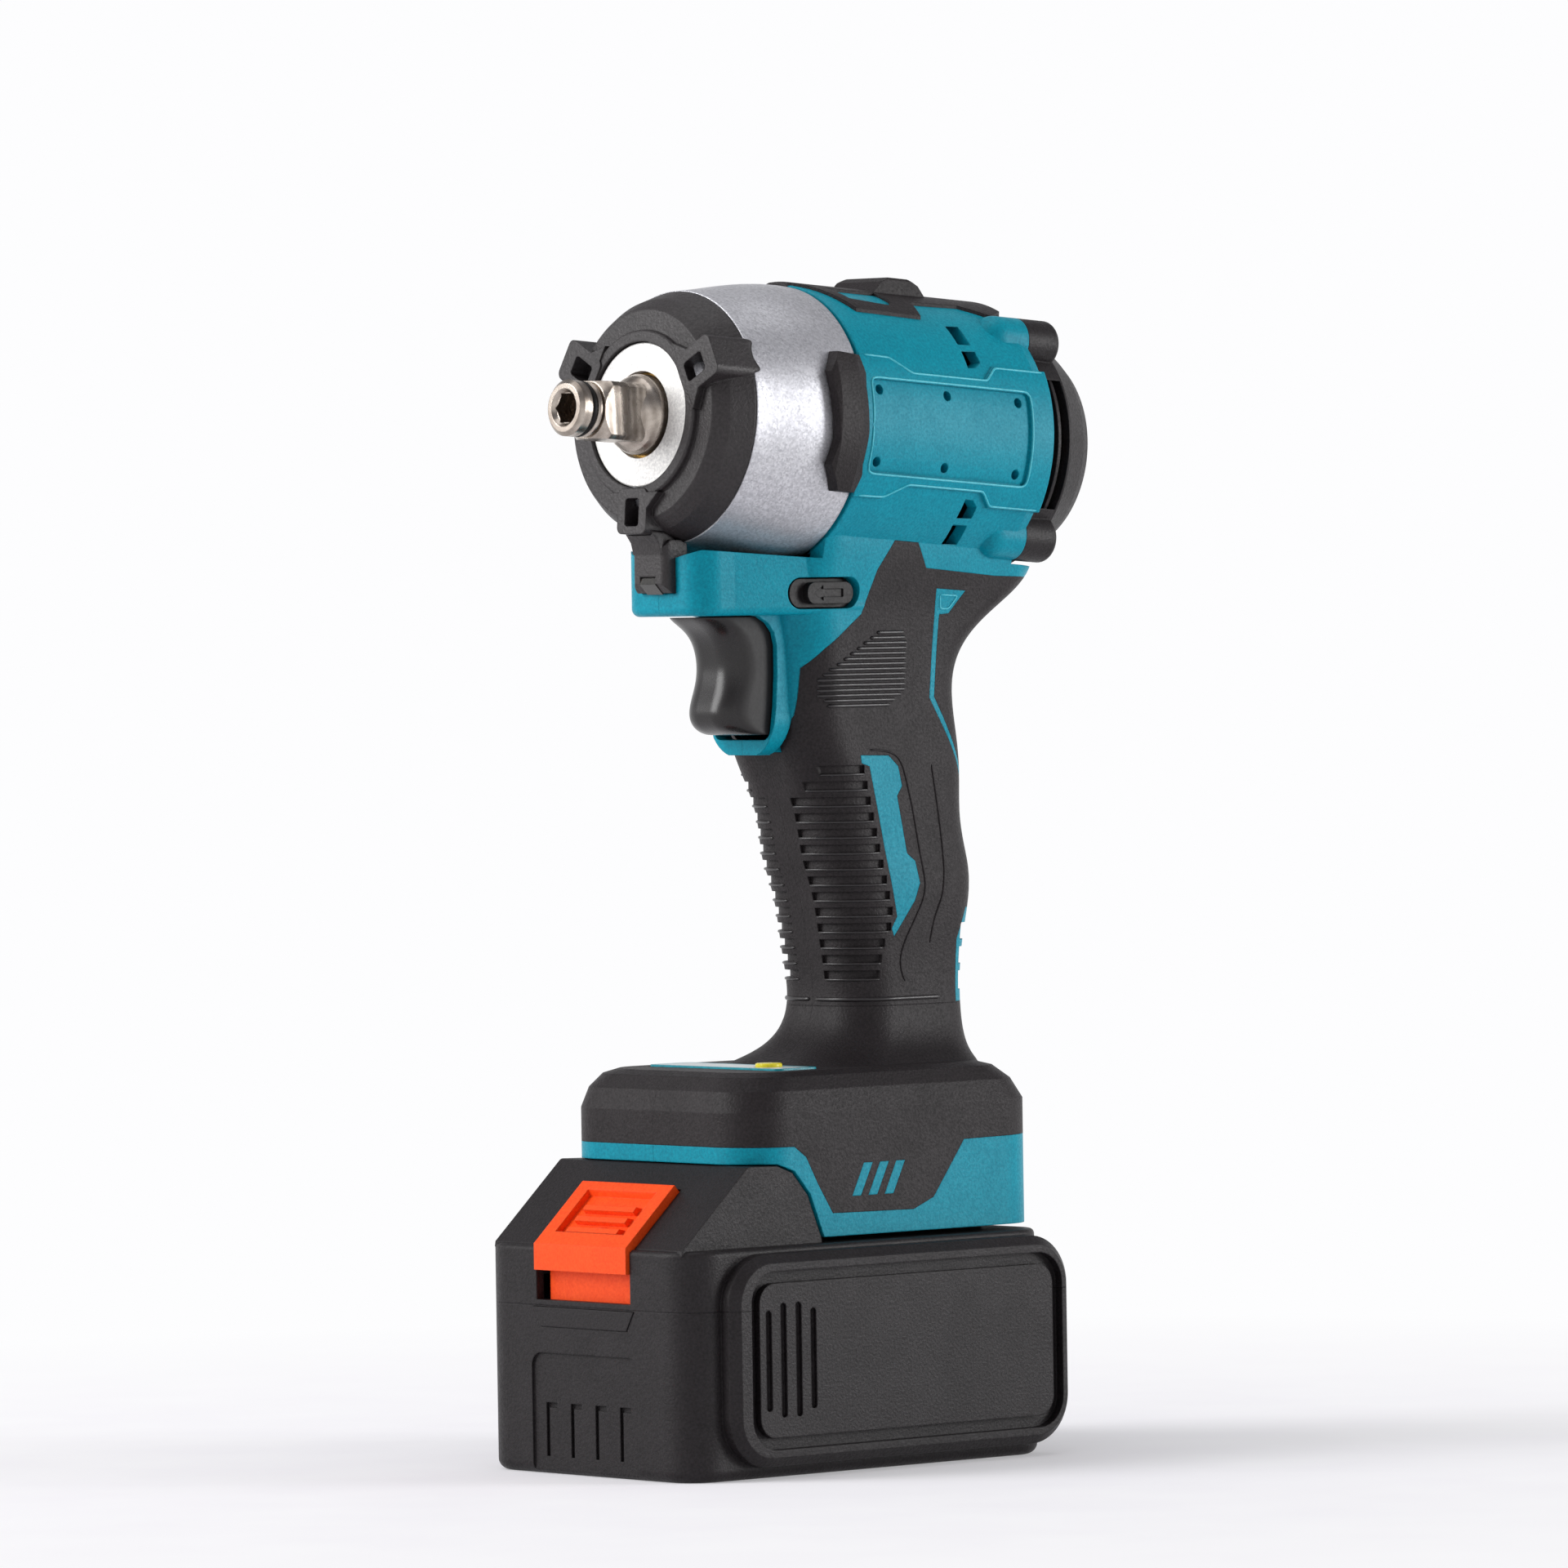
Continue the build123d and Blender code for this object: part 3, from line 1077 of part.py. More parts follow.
TRIGGER_TOP = GUARD_BOTTOM - SLIDING
STEM_R = 2.5
TRIGGER_FRONT = (  # height, y of the front
    (TRIGGER_FOOT, -15.6), (162.6, -18.8), (164.6, -21.1), (168.4, -21.4), (175.4, -19.4), (180.2, -19.8),
    (184.6, -22.5), (TRIGGER_TOP, -27.0),
)
with BuildPart() as trigger:
    for height, front_y in TRIGGER_FRONT:
        with BuildSketch(Plane.XY.offset(height)):
            with Locations((0, (front_y + 8) / 2)):
                RectangleRounded(TRIGGER_WIDTH, 8 - front_y, 6.5)
    loft()
    with Locations((0, TRIGGER_REAR + 10, 175)):
        Box(30, 20, 40, mode=Mode.SUBTRACT)
    with Locations((0, -6.0, 174.5)):
        Box(11.0, 7.2, 20.0, mode=Mode.SUBTRACT)
    with BuildSketch(Plane.XZ.offset(10.4)):
        with Locations((0, 174.5)):
            Circle(STEM_R)
    extrude(amount=-19.4)
write("trigger", trigger.part)

with BuildPart() as trigger_spring:
    add(coil(4.2, 0.45, (SWITCH_Y + 8.7) / 7, 7, Plane(origin=(0, -9.1 + SEAT, 174.5), z_dir=(0, 1, 0))))
write("trigger_spring", trigger_spring.part)

with BuildPart() as switch_body:
    with Locations((0, SWITCH_Y + 12, 173.0)):
        Box(17.0, 24.0, 25.0)
    fillet(switch_body.edges().filter_by(Axis.Y), 1.2)
    with Locations((0, SWITCH_Y + 25.0, 168.0)):
        Box(10.0, 3.0, 8.0)
    with BuildSketch(Plane.XZ.offset(-SWITCH_Y)):
        with Locations((0, 174.5)):
            Circle(STEM_R + SLIDING)
    extrude(amount=-11.0, mode=Mode.SUBTRACT)
write("switch_body", switch_body.part)

LEVER_END = LEVER_LENGTH / 2
with BuildPart() as direction_lever:
    with BuildSketch(SIDE.offset(-LEVER_END + 1.9)):
        with Locations((LEVER_Y, LEVER_Z)):
            RectangleRounded(LEVER_DEPTH, LEVER_HEIGHT, 3.1)
    extrude(amount=LEVER_LENGTH - 3.8)
    with BuildSketch(SIDE.offset(-LEVER_END)):
        with Locations((LEVER_Y + 1.2, LEVER_Z)):
            RectangleRounded(13.4, 4.8, 2.2)
    extrude(amount=LEVER_LENGTH)
    for side in (-1, 1):  # arrow pointing forwards
        with BuildSketch(SIDE.offset(side * (LEVER_END - 0.4))):
            with BuildLine():
                Polyline(
                    (LEVER_Y - 3.6, LEVER_Z), (LEVER_Y - 0.9, LEVER_Z + 1.7), (LEVER_Y - 0.9, LEVER_Z + 0.9),
                    (LEVER_Y + 5.0, LEVER_Z + 0.9), (LEVER_Y + 5.0, LEVER_Z - 0.9), (LEVER_Y - 0.9, LEVER_Z - 0.9),
                    (LEVER_Y - 0.9, LEVER_Z - 1.7), close=True,
                )
            make_face()
        extrude(amount=side, mode=Mode.SUBTRACT)
write("direction_lever", direction_lever.part)

# ---------------------------------------------------------------- control panel
SKIN_FLOOR = FOOT_DECK - GRIP_SKIN
with BuildPart() as control_panel:
    with BuildSketch(Plane.XY.offset(SKIN_FLOOR + SEAT)):
        with Locations((0, PANEL_Y)):
            RectangleRounded(PANEL_WIDTH, PANEL_DEPTH, 2.0)
    extrude(amount=GRIP_SKIN + PANEL_PROUD)
    with Locations((BUTTON_X, PANEL_Y, FOOT_DECK)):
        Cylinder(BUTTON_R + SLIDING, 8, mode=Mode.SUBTRACT)
write("control_panel", control_panel.part)

BOARD_TOP = 79.0
with BuildPart() as mode_button:
    with BuildSketch(Plane.XY.offset(BOARD_TOP + BUTTON_TRAVEL + SLIDING + 1.6)):
        with Locations((BUTTON_X, PANEL_Y)):
            Circle(BUTTON_R)
    extrude(amount=FOOT_DECK + PANEL_PROUD + 0.9 - BOARD_TOP - BUTTON_TRAVEL - SLIDING - 1.6)
    fillet(mode_button.edges().group_by(Axis.Z)[-1], 0.4)
write("mode_button", mode_button.part)

with BuildPart() as controller_board:
    with Locations((0, 8, BOARD_TOP - 0.8)):
        Box(44.0, 56.0, 1.6)
    with Locations((BUTTON_X, PANEL_Y, BOARD_TOP + 0.8)):
        Box(5.0, 5.0, 1.6)
    with Locations((-8, 16, BOARD_TOP + 1.5)):
        Box(20.0, 22.0, 3.0)
    for board_y in (-1, 31):
        with Locations((14, board_y, BOARD_TOP + 2.4)):
            Cylinder(3.4, 4.8)
write("controller_board", controller_board.part)

# ---------------------------------------------------------------- battery mount in the foot
RAIL_NECK = 17.0
RAIL_HEAD = 21.2
RAIL_STEP = BATTERY_TOP + 4.1
RAIL_TOP = 58.0
CRADLE_TOP = 60.5
with BuildPart() as battery_cradle:
    with Locations((0, 13, (FOOT_BOTTOM + CRADLE_TOP) / 2)):
        Box(60, 54, CRADLE_TOP - FOOT_BOTTOM - 0.3)
    add(foot_form(GRIP_SKIN + SHELL_WALL + SEAT), mode=Mode.INTERSECT)
    with Locations((0, 13, (RAIL_STEP + RAIL_TOP) / 2)):
        Box(2 * (RAIL_HEAD + 0.4), 80, RAIL_TOP - RAIL_STEP + 0.8, mode=Mode.SUBTRACT)
    with Locations((0, 13, RAIL_STEP - 3)):
        Box(2 * (RAIL_NECK + 0.4), 80, 6, mode=Mode.SUBTRACT)
    for side in (-1, 1):
        with Locations((side * 8, 32, CRADLE_TOP - 1)):
            Box(0.84, 16, 4, mode=Mode.SUBTRACT)
write("battery_cradle", battery_cradle.part)

with BuildPart() as tool_terminals:
    for side in (-1, 1):
        with Locations((side * 8, 32, 59.2)):
            Box(0.8, 15.9, 8.0)
write("tool_terminals", tool_terminals.part)

# ---------------------------------------------------------------- battery
BATTERY_LENGTH = BATTERY_REAR - BATTERY_FRONT
BATTERY_MIDDLE = (BATTERY_REAR + BATTERY_FRONT) / 2
TOWER = ((-57.8, BATTERY_TOP - 1), (-57.6, 50.6), (-38.2, 68), (-29.8, 67.8), (-25.4, 66.1), (-21, 61),
         (-17.1, 51.4), (-17.0, BATTERY_TOP - 1))
TOWER_ROOM = ((-54, 40), (-54, 50.2), (-37.4, 65.4), (-30.3, 65.2), (-27, 64), (-23, 59.6), (-19.6, 51.4),
              (-19.6, 47), (-46, 47))
LATCH_ROOM = ((-64, SLOT_BOTTOM), (-64, 66), (-45.4, 64.6), (-42.8, 61.7), (-42.8, 57.5), (-54.3, 46.2),
              (-54.3, SLOT_BOTTOM))
LATCH_WALLS = ((-40.6, 55.3), (-40.6, 65.0), (-45, 61.2), (-57, 50.4), (-57, 43.9), (-54.3, 43.9))
SCREW_SPOTS = [(x, y) for x in (-24.0, 24.0) for y in (-54.8, 43.5)]
PACK_SCREW_R = 1.2


def pack_block(inset, low_z, high_z):
    """The battery's main box between two heights, shrunk by inset at the sides."""
    with BuildPart() as block:
        with BuildSketch(Plane.XY.offset(low_z)):
            with Locations((0, BATTERY_MIDDLE)):
                RectangleRounded(BATTERY_BODY_WIDTH - 2 * inset, BATTERY_LENGTH - 2 * inset, 9.0 - inset)
        extrude(amount=high_z - low_z)
    return block.part


with BuildPart() as battery_form:
    add(pack_block(0, 0, BATTERY_TOP))
    fillet(battery_form.faces().sort_by(Axis.Z)[0].edges(), 2.5)
    fillet(battery_form.faces().sort_by(Axis.Z)[-1].edges(), 1.2)

with BuildPart() as bulges:
    for side in (-1, 1):
        with BuildSketch(SIDE.offset(side * 28)):
            with Locations(((BULGE_FRONT + BULGE_REAR) / 2, (BULGE_BOTTOM + BULGE_TOP) / 2)):
                RectangleRounded(BULGE_REAR - BULGE_FRONT, BULGE_TOP - BULGE_BOTTOM, BULGE_CORNER)
        extrude(amount=side * (BATTERY_WIDTH / 2 - 28))
    chamfer(bulges.faces().filter_by(Axis.X).sort_by(Axis.X)[-1].edges(), 2.0)
    chamfer(bulges.faces().filter_by(Axis.X).sort_by(Axis.X)[0].edges(), 2.0)

with BuildPart() as tower:
    add(side_prism(TOWER, -31.6, 31.6))
    fillet(tower.edges().filter_by(Axis.X).group_by(Axis.Z)[-1], 1.5)

POCKET_FLOOR = BATTERY_WIDTH / 2 - GROOVE_DEPTH - 0.2
POCKET_LENGTH = BULGE_REAR - BULGE_FRONT - 2 * PANEL_BORDER + 1
POCKET_HIGH = BULGE_TOP - BULGE_BOTTOM - 2 * PANEL_BORDER + 1.8
SIDE_PANEL_Y = 0.9
SIDE_PANEL_Z = 26.0
with BuildPart() as battery_solid:
    add(battery_form.part)
    add(bulges.part)
    add(tower.part)
    add(pack_block(BATTERY_WALL, BATTERY_WALL, BATTERY_TOP - BATTERY_WALL), mode=Mode.SUBTRACT)
    add(side_prism(TOWER_ROOM, -29.4, 29.4), mode=Mode.SUBTRACT)
    add(side_prism(LATCH_WALLS, -18, 18))
    with Locations((0, -51.2, 46.4)):
        Cylinder(5.2, 5.0)
    add(side_prism(LATCH_ROOM, -LATCH_WIDTH / 2 - SLIDING, LATCH_WIDTH / 2 + SLIDING), mode=Mode.SUBTRACT)
    for side in (-1, 1):
        low_x, high_x = sorted((side * POCKET_FLOOR, side * 41))
        add(
            rounded_slab(POCKET_LENGTH, POCKET_HIGH, 7.0, SIDE_PANEL_Y, SIDE_PANEL_Z, low_x, high_x),
            mode=Mode.SUBTRACT,
        )
    # rail and terminal slots
    with Locations((0, 13.2, BATTERY_TOP + 2)):
        Box(2 * RAIL_NECK, 61.6, 6)
    with Locations((0, 15, (RAIL_STEP + RAIL_TOP) / 2)):
        Box(2 * RAIL_HEAD, 58, RAIL_TOP - RAIL_STEP)
    for side in (-1, 1):
        with Locations((side * 8, 34, 52)):
            Box(2.4, 24, 14, mode=Mode.SUBTRACT)
    # screw bosses
    for x, y in SCREW_SPOTS:
        with Locations((x, y, 23)):
            Cylinder(2.4, 45)
    for x, y in SCREW_SPOTS:
        with Locations((x, y, 22)):
            Cylinder(PACK_SCREW_R + SEAT, 42, mode=Mode.SUBTRACT)
        with Locations((x, y, 0)):
            Cylinder(2.3, 5.0, mode=Mode.SUBTRACT)
    with Locations((0, -51.2, 49.5)):
        Cylinder(3.9, 9.0, mode=Mode.SUBTRACT)
    # recess on the front with its grooves
    with BuildSketch(Plane.XZ.offset(-BATTERY_FRONT - 0.6)):
        with Locations((0, 10)):
            RectangleRounded(35.6, 33.4, 3.0)
    extrude(amount=5, mode=Mode.SUBTRACT)
    for groove_x in (-13.2, -4.9, 3.4, 11.7):
        with Locations((groove_x, BATTERY_FRONT, 9.8)):
            Box(1.1, 2.8, 11.8, mode=Mode.SUBTRACT)
        with Locations((groove_x + 1.3, BATTERY_FRONT, 15.2)):
            Box(3.7, 2.8, 1.1, mode=Mode.SUBTRACT)
    with BuildSketch(Plane.XZ.offset(-BATTERY_FRONT - 1.3)):
        with Locations((0, 34.7)):
            Trapezoid(34.0, 4.4, 60, rotation=180)
    extrude(amount=5, mode=Mode.SUBTRACT)


def cut_at_seam(part, low_z, high_z):
    """What of a part lies between two heights."""
    with BuildPart() as piece:
        add(part)
        with Locations((0, 0, (low_z + high_z) / 2)):
            Box(200, 200, high_z - low_z, mode=Mode.INTERSECT)
    return piece.part


write("battery_lower_case", cut_at_seam(battery_solid.part, -1, BATTERY_SEAM - SEAT / 2))
write("battery_upper_case", cut_at_seam(battery_solid.part, BATTERY_SEAM + SEAT / 2, 80))

with BuildPart() as battery_plug:
    with BuildSketch(Plane.XZ.offset(-BATTERY_FRONT - 1.3 + SEAT)):
        with Locations((0, 34.7)):
            Trapezoid(33.8, 4.3, 60, rotation=180)
    extrude(amount=1.5)
write("battery_plug", battery_plug.part)

with BuildPart() as battery_side_panels:
    for side in (-1, 1):
        low_x, high_x = sorted((side * (POCKET_FLOOR + SEAT), side * (BATTERY_WIDTH / 2 - 0.4)))
        length = POCKET_LENGTH - 2 * PANEL_GROOVE
        add(rounded_slab(
            length, POCKET_HIGH - 2 * PANEL_GROOVE, 4.5, SIDE_PANEL_Y, SIDE_PANEL_Z, low_x, high_x,
        ))
        for slot_y, slot_length in ((-40.0, 22.0), (-35.7, 25.0), (-31.3, 25.0), (-27.0, 22.0)):
            with BuildSketch(SIDE.offset(side * (BATTERY_WIDTH / 2 - 1.4))):
                with Locations((slot_y, SIDE_PANEL_Z)):
                    RectangleRounded(1.7, slot_length, 0.8)
            extrude(amount=side * 4, mode=Mode.SUBTRACT)
write("battery_side_panels", battery_side_panels.part)

THUMB_RECESS = ((-57.2, 54.8), (-58.6, 56.4), (-49.2, 64.8), (-47.8, 63.2), (-46.9, 60.6), (-57.0, 51.5))
LATCH_BODY = ((-60.1, 45), (-60.1, 50.8), (-45.6, 63.9), (-43.4, 61.4), (-55.0, 50.4), (-55.0, 45))
with BuildPart() as latch_button:
    add(side_prism(LATCH_BODY, -LATCH_WIDTH / 2, LATCH_WIDTH / 2))
    with Locations((0, -55.85, 41.0)):
        Box(28.0, 1.7, 9.0)
    add(side_prism(THUMB_RECESS, -11.5, 11.5), mode=Mode.SUBTRACT)
    for rib in (0.2, 0.45, 0.7):
        y = -57.0 + 10.1 * rib
        z = 51.5 + 9.1 * rib
        add(side_prism(((y - 0.9, z - 0.8), (y - 1.8, z + 0.2), (y - 0.8, z + 1.2), (y + 0.9, z + 0.8)), -8.5, 8.5))
    with BuildSketch(Plane.XY.offset(49.3)):
        with Locations((0, -51.2)):
            Circle(2.1)
    extrude(amount=6.0)
    with BuildSketch(Plane.XY.offset(50.6)):
        with Locations((0, -51.2)):
            Circle(3.6)
    extrude(amount=4.0)
write("latch_button", latch_button.part)

with BuildPart() as latch_spring:
    add(coil(2.95, 0.4, (50.6 - 45.0 - 0.84) / 3, 3, Plane(origin=(0, -51.2, 45.0 + 0.42), z_dir=(0, 0, 1))))
write("latch_spring", latch_spring.part)

CELL_YS = [BATTERY_MIDDLE + CELL_PITCH * (number - (CELLS_IN_ROW - 1) / 2) for number in range(CELLS_IN_ROW)]
CELL_ZS = (12.2, 30.8)
with BuildPart() as battery_cells:
    for cell_y in CELL_YS:
        for cell_z in CELL_ZS:
            add(bar(cell_y, cell_z, CELL_R, -CELL_LENGTH / 2, CELL_LENGTH / 2))
write("battery_cells", battery_cells.part)

with BuildPart() as cell_holder:
    for side in (-1, 1):
        with Locations((side * 28.5, BATTERY_MIDDLE, 21.5)):
            Box(3.0, 96.5, 38.2)
    for cell_y in CELL_YS:
        for cell_z in CELL_ZS:
            add(bar(cell_y, cell_z, CELL_R + SEAT, -40, 40), mode=Mode.SUBTRACT)
write("cell_holder", cell_holder.part)

with BuildPart() as battery_board:
    with Locations((0, -4, 42.0)):
        Box(44.0, 84.0, 1.6)
write("battery_board", battery_board.part)

with BuildPart() as battery_terminals:
    for side in (-1, 1):
        for leaf in (-0.95, 0.95):
            with Locations((side * 8 + leaf, 32, 50.0)):
                Box(0.4, 8.0, 14.3)
write("battery_terminals", battery_terminals.part)

with BuildPart() as battery_screws:
    for x, y in SCREW_SPOTS:
        add(screw(Plane.XY.offset(2.5 - SEAT).moved(Location((x, y, 0))), 38.0, 2.2, PACK_SCREW_R))
write("battery_screws", battery_screws.part)
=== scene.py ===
from math import cos, pi, radians, sin

import bmesh
import bpy
import numpy as np
from mathutils import Matrix, Vector


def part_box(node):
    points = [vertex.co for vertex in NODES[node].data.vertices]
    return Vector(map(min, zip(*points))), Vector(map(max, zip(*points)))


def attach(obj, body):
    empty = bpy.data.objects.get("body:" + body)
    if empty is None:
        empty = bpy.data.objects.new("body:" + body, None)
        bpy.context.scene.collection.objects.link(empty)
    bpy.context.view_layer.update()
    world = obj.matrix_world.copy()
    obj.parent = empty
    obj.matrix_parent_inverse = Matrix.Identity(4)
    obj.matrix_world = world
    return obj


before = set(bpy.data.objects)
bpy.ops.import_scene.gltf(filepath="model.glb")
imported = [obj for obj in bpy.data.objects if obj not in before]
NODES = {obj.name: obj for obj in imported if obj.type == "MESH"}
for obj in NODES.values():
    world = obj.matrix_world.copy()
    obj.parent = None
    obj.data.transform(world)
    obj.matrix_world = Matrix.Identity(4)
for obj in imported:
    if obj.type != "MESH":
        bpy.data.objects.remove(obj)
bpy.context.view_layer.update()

MM = 0.001

# ---------------------------------------------------------------- camera
# A long lens, low and far away, turned from the nose towards the left flank. Angles are in radians,
# lengths in metres, and places in the frame are shares of its side.
AZIMUTH = radians(48.5)
PITCH = 0.0193
ROLL = -0.0157
DISTANCE = 2.358
FOCAL_IN_FRAMES = 6.7421875
BASE_IN_FRAME = (0.0026042, 0.4304688)  # the base's middle, right of and below the frame's middle
SENSOR_MM = 36
FAR_LIMIT = 100


def place_camera():
    """The camera at its azimuth, pitch, roll and distance, with the base's middle in its place."""
    right_level = Vector((cos(AZIMUTH), sin(AZIMUTH), 0))
    ahead_level = Vector((-sin(AZIMUTH), cos(AZIMUTH), 0))
    up_level = Vector((0, 0, 1))
    ahead = ahead_level * cos(PITCH) - up_level * sin(PITCH)
    upright = up_level * cos(PITCH) + ahead_level * sin(PITCH)
    right = right_level * cos(ROLL) + upright * sin(ROLL)
    up = upright * cos(ROLL) - right_level * sin(ROLL)
    offset = right * (BASE_IN_FRAME[0] / FOCAL_IN_FRAMES) - up * (BASE_IN_FRAME[1] / FOCAL_IN_FRAMES)
    position = -(ahead + offset) * DISTANCE
    lens = bpy.data.cameras.new("camera")
    lens.sensor_width = SENSOR_MM
    lens.lens = SENSOR_MM * FOCAL_IN_FRAMES
    lens.clip_end = FAR_LIMIT
    camera = bpy.data.objects.new("camera", lens)
    camera.matrix_world = Matrix((
        (right.x, up.x, -ahead.x, position.x),
        (right.y, up.y, -ahead.y, position.y),
        (right.z, up.z, -ahead.z, position.z),
        (0, 0, 0, 1),
    ))
    bpy.context.scene.collection.objects.link(camera)
    bpy.context.scene.camera = camera
    return ahead_level, right_level


AHEAD, RIGHT = place_camera()
bpy.context.scene.view_settings.view_transform = "Standard"

# ---------------------------------------------------------------- material helpers
# Some sockets go by number. A MapRange takes its value at 0, its range at 1 and 2 and its new range at 3
# and 4. A colour Mix takes its share at 0 and its two colours at 6 and 7, and gives the mixture at 2.


def srgb(hex_colour):
    """A hex colour written in sRGB as linear red, green, blue and alpha."""
    parts = [int(hex_colour[i:i + 2], 16) / 255 for i in (1, 3, 5)]
    return tuple(p / 12.92 if p <= 0.04045 else ((p + 0.055) / 1.055) ** 2.4 for p in parts) + (1.0,)


def add_node(tree, kind, inputs=None, **settings):
    """Adds a node with its settings; each input is a value or the socket that feeds it."""
    node = tree.nodes.new("ShaderNode" + kind)
    for name, value in settings.items():
        setattr(node, name, value)
    for socket, value in (inputs or {}).items():
        if isinstance(value, bpy.types.NodeSocket):
            tree.links.new(value, node.inputs[socket])
        else:
            node.inputs[socket].default_value = value
    return node


def new_material(name):
    """A material with a bare shader and the object's own coordinates."""
    material = bpy.data.materials.new(name)
    material.use_nodes = True
    tree = material.node_tree
    tree.nodes.clear()
    shader = add_node(tree, "BsdfPrincipled")
    add_node(tree, "OutputMaterial", {"Surface": shader.outputs["BSDF"]})
    place = add_node(tree, "TexCoord").outputs["Object"]
    return material, tree, shader, place


def weighed(tree, *parts):
    """One pattern out of several: each is stretched from its usual range to its share, then they add up."""
    total = None
    for pattern, (low, high), share in parts:
        part = add_node(tree, "MapRange", {0: pattern, 1: low, 2: high, 4: share}).outputs[0]
        if total is not None:
            part = add_node(tree, "Math", {0: total, 1: part}, operation="ADD").outputs[0]
        total = part
    return total


def finish(tree, shader, tone, colours, roughness, height, depth_mm, edge_mm):
    """A surface's look. The colour follows the tone from 0 to 1 between two ends, and so does the
    roughness where it has two. The height pattern, depth_mm deep, lies over edges eased to a small
    radius, or sharp where it is 0."""
    dark, light = (srgb(colour) for colour in colours)
    colour = add_node(tree, "Mix", {0: tone, 6: dark, 7: light}, data_type="RGBA")
    tree.links.new(colour.outputs[2], shader.inputs["Base Color"])
    if isinstance(roughness, tuple):
        rough = add_node(tree, "MapRange", {0: tone, 3: roughness[0], 4: roughness[1]})
        tree.links.new(rough.outputs[0], shader.inputs["Roughness"])
    else:
        shader.inputs["Roughness"].default_value = roughness
    bump = add_node(tree, "Bump", {"Height": height, "Distance": depth_mm * MM, "Strength": 1.0})
    if edge_mm:
        eased = add_node(tree, "Bevel", {"Radius": edge_mm * MM}, samples=4)
        tree.links.new(eased.outputs["Normal"], bump.inputs["Normal"])
    tree.links.new(bump.outputs["Normal"], shader.inputs["Normal"])


NOISE = (0.3, 0.7)  # the range that cloudy noise mostly keeps to
WHOLE = (0.0, 1.0)
BROAD_PATCH_MM = 9.0


def moulded(name, dark, light, rough, grain_mm, depth_mm, edge_mm=0.35, gloss=0.2, rough_spread=0.08):
    """A moulded plastic: mottled tone, texture grain from the mould, eased edges."""
    material, tree, shader, place = new_material(name)
    fine = add_node(tree, "TexNoise", {
        "Vector": place, "Scale": 1 / (grain_mm * MM), "Detail": 2.0, "Roughness": 0.6,
    }).outputs["Fac"]
    broad = add_node(tree, "TexNoise", {
        "Vector": place, "Scale": 1 / (BROAD_PATCH_MM * MM), "Detail": 3.0, "Roughness": 0.55,
    }).outputs["Fac"]
    mottle = weighed(tree, (fine, NOISE, 0.75), (broad, NOISE, 0.25))
    roughness = (rough + rough_spread, rough - rough_spread)
    finish(tree, shader, mottle, (dark, light), roughness, fine, depth_mm, edge_mm)
    shader.inputs["IOR"].default_value = 1.53
    shader.inputs["Specular IOR Level"].default_value = gloss
    return material, tree, shader, place


# ---------------------------------------------------------------- materials
# The skin of a spark-eroded mould has grains of about 0.1 mm. Every plastic here draws its grain several
# times coarser, so that it shows.

# ABS, injection moulded in a spark-eroded mould: an even fine matt grain that breaks the highlight
# up into a broad satin sheen. The grain is drawn at 0.6 mm, coarser than the real 0.1 mm, to show.
teal_abs = moulded("teal_abs_spark_texture", "#007A8F", "#0398AD", 0.42, 0.6, 0.06, 0.45, 0.14)[0]

# The same ABS on narrow raised edges, smoother than the housing. Its paler colour is a painted highlight
# along each edge, so each edge shows.
teal_painted_highlight = moulded("teal_abs_painted_highlight", "#1BA6BA", "#4FC3D1", 0.32, 0.8, 0.01, 0.1, 0.35)[0]

# Thermoplastic rubber moulded over the ABS: warm black, matt, with a leathery micro-grain.
# The grain is drawn at 0.6 mm, coarser than the real one, to show.
black_tpe = moulded("black_tpe_overmould", "#151112", "#2A2527", 0.52, 0.6, 0.12, 0.35)[0]

# The same rubber on the nose, drier and rubbed by use: its worn grain catches more light.
worn_tpe = moulded("black_tpe_rubbed_nose", "#191516", "#2E292B", 0.50, 0.7, 0.14, 0.5, 0.42)[0]

# The same rubber on ribs and lips, polished by the hand: smoother, so their tops catch the light.
rib_tpe = moulded("black_tpe_hand_polished", "#1B1819", "#2B2729", 0.34, 0.6, 0.02, 0.1, 0.45)[0]

# Glass-filled nylon, moulded with a spark-eroded skin: a little greyer and drier than the rubber.
black_nylon = moulded("black_glass_filled_nylon", "#151213", "#2A2628", 0.46, 0.6, 0.10, 0.45)[0]

CHEEK_FROM = 7.6  # how many millimetres out the trigger's shiny front starts to pass into its matt cheek
CHEEK_TO = 8.6  # and where it is all cheek
CHEEK_ROUGHNESS = 0.30  # how much rougher than the front


def trigger_finish():
    """ABS of the trigger: its finger face is from a polished part of the mould and shines softly, and its
    two flat cheeks are from a spark-eroded part and stay matt."""
    material, tree, shader, place = moulded(
        "trigger_satin_abs", "#151213", "#1E1B1C", 0.28, 0.6, 0.01, 0.5, 0.4, 0.02,
    )
    side = add_node(tree, "SeparateXYZ", {0: place}).outputs["X"]
    across = add_node(tree, "Math", {0: side}, operation="ABSOLUTE").outputs[0]
    cheek = add_node(tree, "MapRange", {
        0: across, 1: CHEEK_FROM * MM, 2: CHEEK_TO * MM, 4: CHEEK_ROUGHNESS,
    })
    polish = shader.inputs["Roughness"].links[0].from_socket
    rough = add_node(tree, "Math", {0: polish, 1: cheek.outputs[0]}, operation="ADD").outputs[0]
    tree.links.new(rough, shader.inputs["Roughness"])
    return material


trigger_abs = trigger_finish()

# ABS of the latch, coloured in the melt and moulded: saturated orange-red right through, satin.
latch_abs = moulded("latch_orange_abs", "#EE430E", "#FF5B1E", 0.40, 0.6, 0.03, 0.3)[0]

